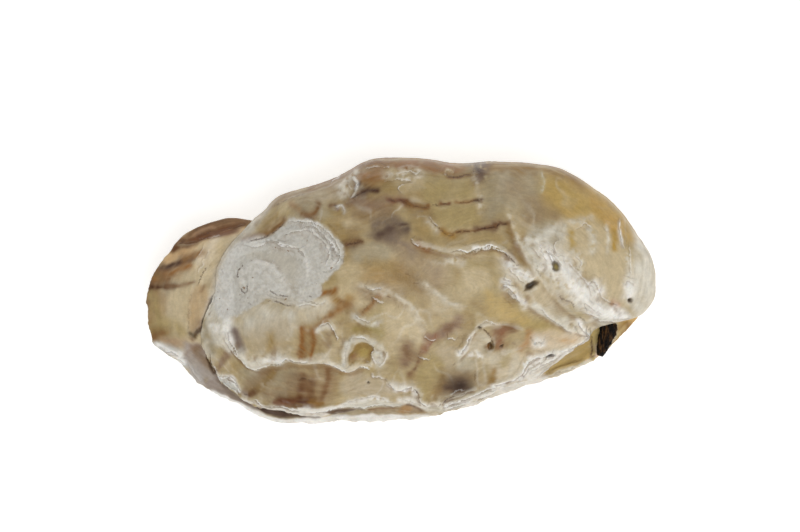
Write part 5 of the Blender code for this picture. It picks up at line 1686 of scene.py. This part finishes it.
# Painted shade in the crack along the upper valve's margin and in the crevice of the lobe.
glaze(rim_tint, crack + crevice, pigment(70, 52, 34), 0.75)
RIM_WHITE_LINES = [
    ([-51.2, -13.5, -49.5, -13.2, -47.6, -14], 0.8),
    ([-49.9, -14.6, -48.2, -14.6, -46.9, -15.5], 0.6),
    ([-44.3, 10.9, -41.7, 11.1, -39.1, 11.7], 0.3),
    ([-46.1, -15.9, -44.8, -18.1, -42.8, -20], 0.3),
    ([-42.4, 10, -43.9, 7.4, -45, 5.2], 0.3),
    ([31.7, -18.9, 35.6, -17.4, 39.5, -15.9], 0.5),
    ([-41.7, 8.7, -42.8, 6.1, -44.1, 3.5], 0.3),
]
RIM_LINES = [
    ([-44.1, 0.9, -42.8, 3.7, -41.1, 5.5], 0.8),
    ([-45.8, -10.3, -45.7, -4.5, -45.2, 0.1], 0.3),
    ([-52.1, 4.9, -49.3, 5.7, -46.9, 6.3], 0.35),
    ([-48.6, 10.4, -44.3, 11.5, -40.4, 12.8], 0.4),
    ([41.1, -9.9, 41.3, -12.5, 41.2, -14.4], 0.8),
]
nacre = np.tile(pigment(222, 220, 212), (lower_top_count, 1))
glaze(nacre, smoothstep(0.1, 0.8, rough(plan, 12, 229, 3)), pigment(206, 208, 206), 0.8)
rim_tint = nacre + (rim_tint - nacre) * shown[:, None]
print("mean tone of the rim's side:", rim_tint.mean(axis=0).round(2))

# %% [markdown]
# ## The lower valve: its outside
#
# The outside of the cup is a stack of flaky sheets. Each sheet ends in a thin raised edge, and dark rays
# run out across them from the scar to the margin, as on most oysters. The scar itself stays flat, because
# the shell rests on it.

# %% Flakes and rays of the outside
FLAKE_STEP = 2.4
FLAKE_SPAN = 24
under = lower_form[lower_top_count:, :2]
angle_under, radius = disc(under_corners)
place = stretch_rings(radius, SEAT_RING_BELOW, 1.0)
open_side = smoothstep(SCAR_SHARE, SCAR_SHARE + 0.25, place)
sweep = outwards(angle_under) * (40, 26)
_, reach = polar(under)
to_edge = (read_round(LOWER_MARGIN, angle_under) - reach) * stretch(angle_under)
walked = -FLAKE_SPAN * (1 - np.exp(-np.maximum(to_edge, 0) / FLAKE_SPAN))
walked = walked + 1.5 * rough(under, 13, 301, 3) + 0.5 * rough(under, 4, 303, 2)
step = walked / FLAKE_STEP % 1.0
flake = step**2 - smoothstep(0.92, 1.0, step)
folds = np.clip(rough(sweep, 6, 307, 2), -0.6, 0.8)
under_lift = open_side * (0.6 * flake + 0.25 * folds + 0.14 * rough(under, 2.2, 309, 3))
under_lift *= 1 - smoothstep(1.85, 2.0, place)
under_relief = under_lift - soften(under_lift, LOWER_UNDER_CELLS, 10)
print("flakes on the outside: about", int(round(np.ptp(walked) / FLAKE_STEP)))

# %% Colours of the outside
under_tint = np.tile(pigment(186, 172, 146), (len(under), 1))
glaze(under_tint, smoothstep(-0.1, 0.8, rough(under, 9, 311, 3)), ASH, 0.6)
glaze(under_tint, smoothstep(-0.2, 0.9, rough(under, 6, 315, 3)), KHAKI, 0.5)
glaze(under_tint, step, CREAM, 0.35)
rays = smoothstep(0.1, 0.7, noise(sweep, 4.6, 313) + 0.45 * noise(under, 5, 317))
glaze(under_tint, rays * smoothstep(0.5, 0.9, place) * (0.5 + 0.5 * step), pigment(112, 88, 82), 0.7)
pale_edge = smoothstep(-0.3, 0.5, noise(under, 5, 321))
glaze(under_tint, smoothstep(0.80, 0.94, step) * pale_edge, PEARL, 0.5)
# Painted shade in the hollows between the flakes.
glaze(under_tint, smoothstep(-0.03, -0.25, under_relief), UMBER, 0.6)
scar = 1 - smoothstep(SCAR_SHARE - 0.06, SCAR_SHARE + 0.04, place)
glaze(under_tint, scar, pigment(176, 164, 140), 0.9)
print("mean tone of the outside:", under_tint.mean(axis=0).round(2))

# %% Press the lower valve
lower_places = lower_form + lower_normals * np.concatenate([lift, under_lift])[:, None]
lower_places[:, 2] = np.maximum(lower_places[:, 2], 0.0)
under_chalk = 0.35 * open_side * smoothstep(-0.2, 0.6, rough(under, 8, 319, 2))
# The rim's white edges and the outside's flake edges get the same white line, painted highlight and painted
# shade in the finish.
edge_side, edge_strength = closest(crinkled, RIM_WHITE_LINES)
stain_side, stain_strength = closest(crinkled, RIM_LINES)
flake_side = FLAKE_STEP * np.where(step > 0.5, 0.97 - step, -0.03 - step)
lower_looks = {
    "tint": np.vstack([rim_tint, under_tint]),
    "flow": np.vstack([rim_flow, growth_flow(walked, angle_under)]),
    "chalk": np.concatenate([np.zeros(lower_top_count), under_chalk]),
    "edge_side": np.concatenate([edge_side, flake_side]),
    "edge_strength": np.concatenate([edge_strength * shown, 0.6 * open_side * pale_edge]),
    "stain_side": fill_up(stain_side, len(under), STROKE_REACH),
    "stain_strength": fill_up(stain_strength * shown, len(under)),
}
lower = press("lower_valve_finished", lower_bm, lower_places, lower_looks)

# %% [markdown]
# ## The ligament
#
# The ligament is the springy, horn-like strip that pulls the valves open. Out of the water it dries nearly
# black and splits into fibres along its length. A ring of points is extruded along it section by section,
# and fine lengthwise ridges are pressed into it.

# %% Cross-sections of the ligament
LIGAMENT_START = np.array([45.3, -6.8])
LIGAMENT_END = np.array([42.9, -14.2])
LIGAMENT_START_HALF_WIDTH = 2.0
LIGAMENT_END_HALF_WIDTH = 0.95
LIGAMENT_SECTIONS = 90
LIGAMENT_SIDES = 110


def ligament_ring(t, turn):
    """The points of one cross-section, t running from 0 under the upper valve to 1 at the edge."""
    along = LIGAMENT_END - LIGAMENT_START
    across = np.array([-along[1], along[0]]) / np.linalg.norm(along)
    bulge = math.sqrt(1 - 0.7 * (2 * t - 1) ** 4)
    fibres = np.column_stack([turn * 3.0, np.full(len(turn), t * 4.0)])
    rough_side = 1 + 0.16 * rough(fibres, 0.9, 401, 3) + 0.10 * rough(fibres, 0.35, 405, 2)
    half_width = bulge * (LIGAMENT_START_HALF_WIDTH * (1 - t) + LIGAMENT_END_HALF_WIDTH * t)
    plan = LIGAMENT_START + along * t + np.outer(np.cos(turn) * half_width * rough_side, across)
    base = lip_level(plan) + 0.15
    top = seam(plan) - 0.1
    return np.column_stack([plan, (base + top) / 2 + (top - base) / 2 * bulge * np.sin(turn) * rough_side])


# %% Extrude the ligament
turn = np.linspace(0, 2 * math.pi, LIGAMENT_SIDES, endpoint=False)
ligament_bm = bmesh.new()
ring = bmesh.ops.create_circle(ligament_bm, cap_ends=True, segments=LIGAMENT_SIDES, radius=1.0)["verts"]
loop = list(ligament_bm.edges)
for vertex, place_mm in zip(ring, ligament_ring(0.0, turn)):
    vertex.co = place_mm * MM
for section in range(1, LIGAMENT_SECTIONS + 1):
    grown = bmesh.ops.extrude_edge_only(ligament_bm, edges=loop)["geom"]
    ring = [item for item in grown if isinstance(item, bmesh.types.BMVert)]
    loop = [item for item in grown if isinstance(item, bmesh.types.BMEdge) and item.is_boundary]
    for vertex, place_mm in zip(ring, ligament_ring(section / LIGAMENT_SECTIONS, turn)):
        vertex.co = place_mm * MM
bmesh.ops.contextual_create(ligament_bm, geom=loop)
bmesh.ops.recalc_face_normals(ligament_bm, faces=ligament_bm.faces)
ligament_mesh = bpy.data.meshes.new("ligament_finished")
ligament_bm.to_mesh(ligament_mesh)
ligament_bm.free()
ligament_mesh.shade_smooth()
ligament = bpy.data.objects.new("ligament_finished", ligament_mesh)
bpy.context.scene.collection.objects.link(ligament)
print("ligament:", len(ligament_mesh.polygons), "faces")

# %% [markdown]
# ## Materials
#
# The broad colours are already on the shell's points as an attribute, but a line thinner than the spacing
# of the points would come out as beads. So the points also carry their distance to the nearest drawn edge
# or stain, which changes evenly from point to point, and the material turns that distance into a crisp
# line: a dark stain, or at a sheet edge a white line with a painted highlight on its high side and painted
# shade on its low side. Noise added to the distance tears the line, as on thin shell. One material serves
# both valves.

# %% Small helpers for node trees


def start_material(name):
    """A new material, its node tree and its shader."""
    material = bpy.data.materials.new(name)
    material.use_nodes = True
    tree = material.node_tree
    return material, tree, tree.nodes["Principled BSDF"]


def put(tree, value, socket):
    """Link an output to a socket, or set the socket when the value is a plain one."""
    if isinstance(value, bpy.types.NodeSocket):
        tree.links.new(value, socket)
    else:
        socket.default_value = value


def attribute(tree, name, output="Fac"):
    """What the points carry under a name."""
    node = tree.nodes.new("ShaderNodeAttribute")
    node.attribute_name = name
    return node.outputs[output]


def fit(tree, value, low, high, to_low=0.0, to_high=1.0):
    """A value's stretch from low to high, eased into another."""
    node = tree.nodes.new("ShaderNodeMapRange")
    node.interpolation_type = "SMOOTHSTEP"
    for name, number in (("Value", value), ("From Min", low), ("From Max", high), ("To Min", to_low),
                         ("To Max", to_high)):
        put(tree, number, node.inputs[name])
    return node.outputs["Result"]


def maths(tree, operation, first, *others):
    """One sum or product after another."""
    total = first
    for other in others:
        node = tree.nodes.new("ShaderNodeMath")
        node.operation = operation
        put(tree, total, node.inputs[0])
        put(tree, other, node.inputs[1])
        total = node.outputs["Value"]
    return total


def cover(tree, under, over, mask):
    """Lay a colour over another where the mask is."""
    node = tree.nodes.new("ShaderNodeMix")
    node.data_type = "RGBA"
    put(tree, mask, node.inputs["Factor"])
    put(tree, under, node.inputs["A"])
    put(tree, over if isinstance(over, bpy.types.NodeSocket) else (*over, 1.0), node.inputs["B"])
    return node.outputs["Result"]


def grain(tree, scale, detail=3, stretch=(1.0, 1.0, 1.0), space=None):
    """Noise of about 0.3 to 0.7, in the object's own space or along another vector."""
    if space is None:
        space = tree.nodes.new("ShaderNodeTexCoord").outputs["Object"]
    mapping = tree.nodes.new("ShaderNodeMapping")
    mapping.inputs["Scale"].default_value = stretch
    texture = tree.nodes.new("ShaderNodeTexNoise")
    texture.inputs["Scale"].default_value = scale
    texture.inputs["Detail"].default_value = detail
    tree.links.new(space, mapping.inputs["Vector"])
    tree.links.new(mapping.outputs["Vector"], texture.inputs["Vector"])
    return texture.outputs["Fac"]


def vary(tree, texture, low=0.0, high=1.0):
    """Grain, stretched to run from low to high."""
    return fit(tree, texture, 0.3, 0.7, low, high)


def set_shader(shader, values):
    """Set the shader's own sockets by their names."""
    for name, value in values.items():
        shader.inputs[name].default_value = value


def add_bump(tree, shader, height):
    """Relief from a height in millimetres."""
    bump = tree.nodes.new("ShaderNodeBump")
    bump.inputs["Distance"].default_value = MM
    tree.links.new(height, bump.inputs["Height"])
    tree.links.new(bump.outputs["Normal"], shader.inputs["Normal"])


# %% Shell material: masks
shell_finish, tree, shader = start_material("oyster_shell")
fine = grain(tree, 2400)
coarse = grain(tree, 700, 6)
growth = grain(tree, 1.6, 4, (1.0, 0.12, 0.12), attribute(tree, "flow", "Vector"))
flour = grain(tree, 1300, 5)
torn = maths(tree, "ADD", attribute(tree, "edge_side"), vary(tree, fine, -0.10, 0.10),
             vary(tree, coarse, -0.12, 0.12))
edge_strength = attribute(tree, "edge_strength")
patchy = fit(tree, grain(tree, 380), 0.40, 0.58, 0.1, 1.0)
# A thin white line on the high side of each edge, partly the broken edge's own white and partly painted
# highlight, and a band of painted shade on its low side.
white_edge_and_highlight = maths(tree, "MULTIPLY", fit(tree, torn, -0.04, 0.06), fit(tree, torn, 0.42, 0.05),
                  edge_strength, patchy)
painted_shade_under_edge = maths(tree, "MULTIPLY", fit(tree, torn, -0.65, -0.05), fit(tree, torn, 0.02, -0.08),
                   edge_strength)
frayed = maths(tree, "ADD", attribute(tree, "stain_side"), vary(tree, fine, -0.14, 0.14))
thin_stain = maths(tree, "MULTIPLY", fit(tree, frayed, -0.26, -0.04), fit(tree, frayed, 0.26, 0.04),
                   attribute(tree, "stain_strength"), fit(tree, flour, 0.38, 0.52))
ragged_chalk = maths(tree, "ADD", attribute(tree, "chalk"), vary(tree, flour, -0.28, 0.28))
chalk = fit(tree, ragged_chalk, 0.42, 0.62)
print("masks for the shell's finish:", len(tree.nodes), "nodes")

# %% Shell material: colours
mottled = tree.nodes.new("ShaderNodeVectorMath")
mottled.operation = "SCALE"
tree.links.new(attribute(tree, "tint", "Color"), mottled.inputs["Vector"])
mottling = maths(tree, "MULTIPLY", vary(tree, coarse, 0.93, 1.07), vary(tree, fine, 0.96, 1.04),
                 vary(tree, growth, 0.95, 1.05))
tree.links.new(mottling, mottled.inputs["Scale"])
colour = mottled.outputs["Vector"]
powder = cover(tree, (*pigment(188, 182, 170), 1.0), pigment(212, 208, 198), fit(tree, flour, 0.40, 0.58))
colour = cover(tree, colour, powder, maths(tree, "MULTIPLY", chalk, 0.45))
pits = maths(tree, "MULTIPLY", fit(tree, grain(tree, 900, 2), 0.68, 0.73), chalk)
colour = cover(tree, colour, UMBER, maths(tree, "MULTIPLY", pits, 0.7))
colour = cover(tree, colour, pigment(72, 48, 30), maths(tree, "MULTIPLY", thin_stain, 0.85))
# Painted shade below the sheet edges, then their white edge with its painted highlight.
colour = cover(tree, colour, pigment(120, 90, 56), maths(tree, "MULTIPLY", painted_shade_under_edge, 0.4))
colour = cover(tree, colour, WHITE, maths(tree, "MULTIPLY", white_edge_and_highlight, 0.95))
tree.links.new(colour, shader.inputs["Base Color"])

# %% Shell material: gloss and relief
dullness = maths(tree, "ADD", chalk, vary(tree, coarse, -0.12, 0.12))
tree.links.new(fit(tree, dullness, 0.0, 1.0, 0.28, 0.85), shader.inputs["Roughness"])
add_bump(tree, shader, maths(tree, "ADD",
                             maths(tree, "MULTIPLY", fit(tree, torn, -0.18, 0.06), edge_strength, 0.22),
                             maths(tree, "MULTIPLY", thin_stain, -0.05),
                             maths(tree, "MULTIPLY", vary(tree, flour), chalk, 0.05),
                             maths(tree, "MULTIPLY", fine, 0.02),
                             maths(tree, "MULTIPLY", growth, 0.03)))
set_shader(shader, {"Subsurface Weight": 0.12, "Subsurface Radius": (1.0, 0.75, 0.5),
                    "Subsurface Scale": MM, "Specular IOR Level": 0.25, "Coat Weight": 0.03,
                    "Coat Roughness": 0.12})
for valve in (upper, lower):
    valve.data.materials.append(shell_finish)
print("shell material:", len(tree.nodes), "nodes")

# %% Ligament material
ligament_finish, tree, shader = start_material("dry_ligament")
fibres = grain(tree, 500, 4, (3.0, 0.8, 3.0))
tree.links.new(cover(tree, (0.004, 0.002, 0.001, 1.0), (0.11, 0.05, 0.014), fit(tree, fibres, 0.45, 0.72)),
               shader.inputs["Base Color"])
add_bump(tree, shader, maths(tree, "MULTIPLY", grain(tree, 1500, 4, (3.0, 0.5, 3.0)), 0.25))
set_shader(shader, {"Roughness": 0.55, "Specular IOR Level": 0.15})
ligament.data.materials.append(ligament_finish)
print("materials:", shell_finish.name, ligament_finish.name)

# %% [markdown]
# ## Studio
#
# The shell lies on a white surface that glows faintly, as on a light table, so its shadow stays faint and
# its thin edges are lit from below. A large soft window at the front right shows the relief, a small lamp
# at the back left keeps the back rim from going dark, and the camera looks straight down.

# %% Light, floor and camera


def lamp(name, place, size, power):
    """A round soft lamp that looks at the shell."""
    light = bpy.data.lights.new(name, "AREA")
    light.shape = "DISK"
    light.size = size
    light.energy = power
    thing = bpy.data.objects.new(name, light)
    thing.location = place
    thing.rotation_euler = (-Vector(place)).to_track_quat("-Z", "Y").to_euler()
    bpy.context.scene.collection.objects.link(thing)


lamp("window", (0.25, -0.40, 1.0), 1.1, 6.9)
lamp("back", (-0.35, 0.75, 0.70), 0.5, 1.6)
world = bpy.data.worlds.new("studio")
world.use_nodes = True
world.node_tree.nodes["Background"].inputs["Color"].default_value = (1, 1, 1, 1)
world.node_tree.nodes["Background"].inputs["Strength"].default_value = 0.38
bpy.context.scene.world = world

bpy.ops.mesh.primitive_plane_add(size=6.0)
floor = bpy.context.object
floor.name = "floor"
floor_finish, tree, shader = start_material("floor_white")
set_shader(shader, {"Base Color": (0.9, 0.9, 0.9, 1), "Roughness": 1.0, "Emission Color": (1, 1, 1, 1),
                    "Emission Strength": 0.5})
floor.data.materials.append(floor_finish)

CAMERA_HEIGHT = 2.4
VIEW_WIDTH = 0.1728
VIEW_CENTRE = (-0.00026, 0.00525, 0.016)
SENSOR_WIDTH = 36.0
camera_data = bpy.data.cameras.new("camera")
camera_data.sensor_width = SENSOR_WIDTH
camera_data.lens = SENSOR_WIDTH * CAMERA_HEIGHT / VIEW_WIDTH
camera = bpy.data.objects.new("camera", camera_data)
camera.location = (*VIEW_CENTRE[:2], VIEW_CENTRE[2] + CAMERA_HEIGHT)
bpy.context.scene.collection.objects.link(camera)
bpy.context.scene.camera = camera
bpy.context.scene.view_settings.view_transform = "Standard"
print("camera lens:", round(camera_data.lens), "mm")

# %% [markdown]
# ## Put it together
#
# Each finished piece rides on the frame's body and stands for its plain solid, which is hidden.

# %% Join the frame
for piece, node, slot in ((upper, "upper_valve", "upper_shell"), (lower, "lower_valve", "lower_shell"),
                          (ligament, "hinge_ligament", "ligament")):
    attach(piece, "root")
    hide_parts(node)
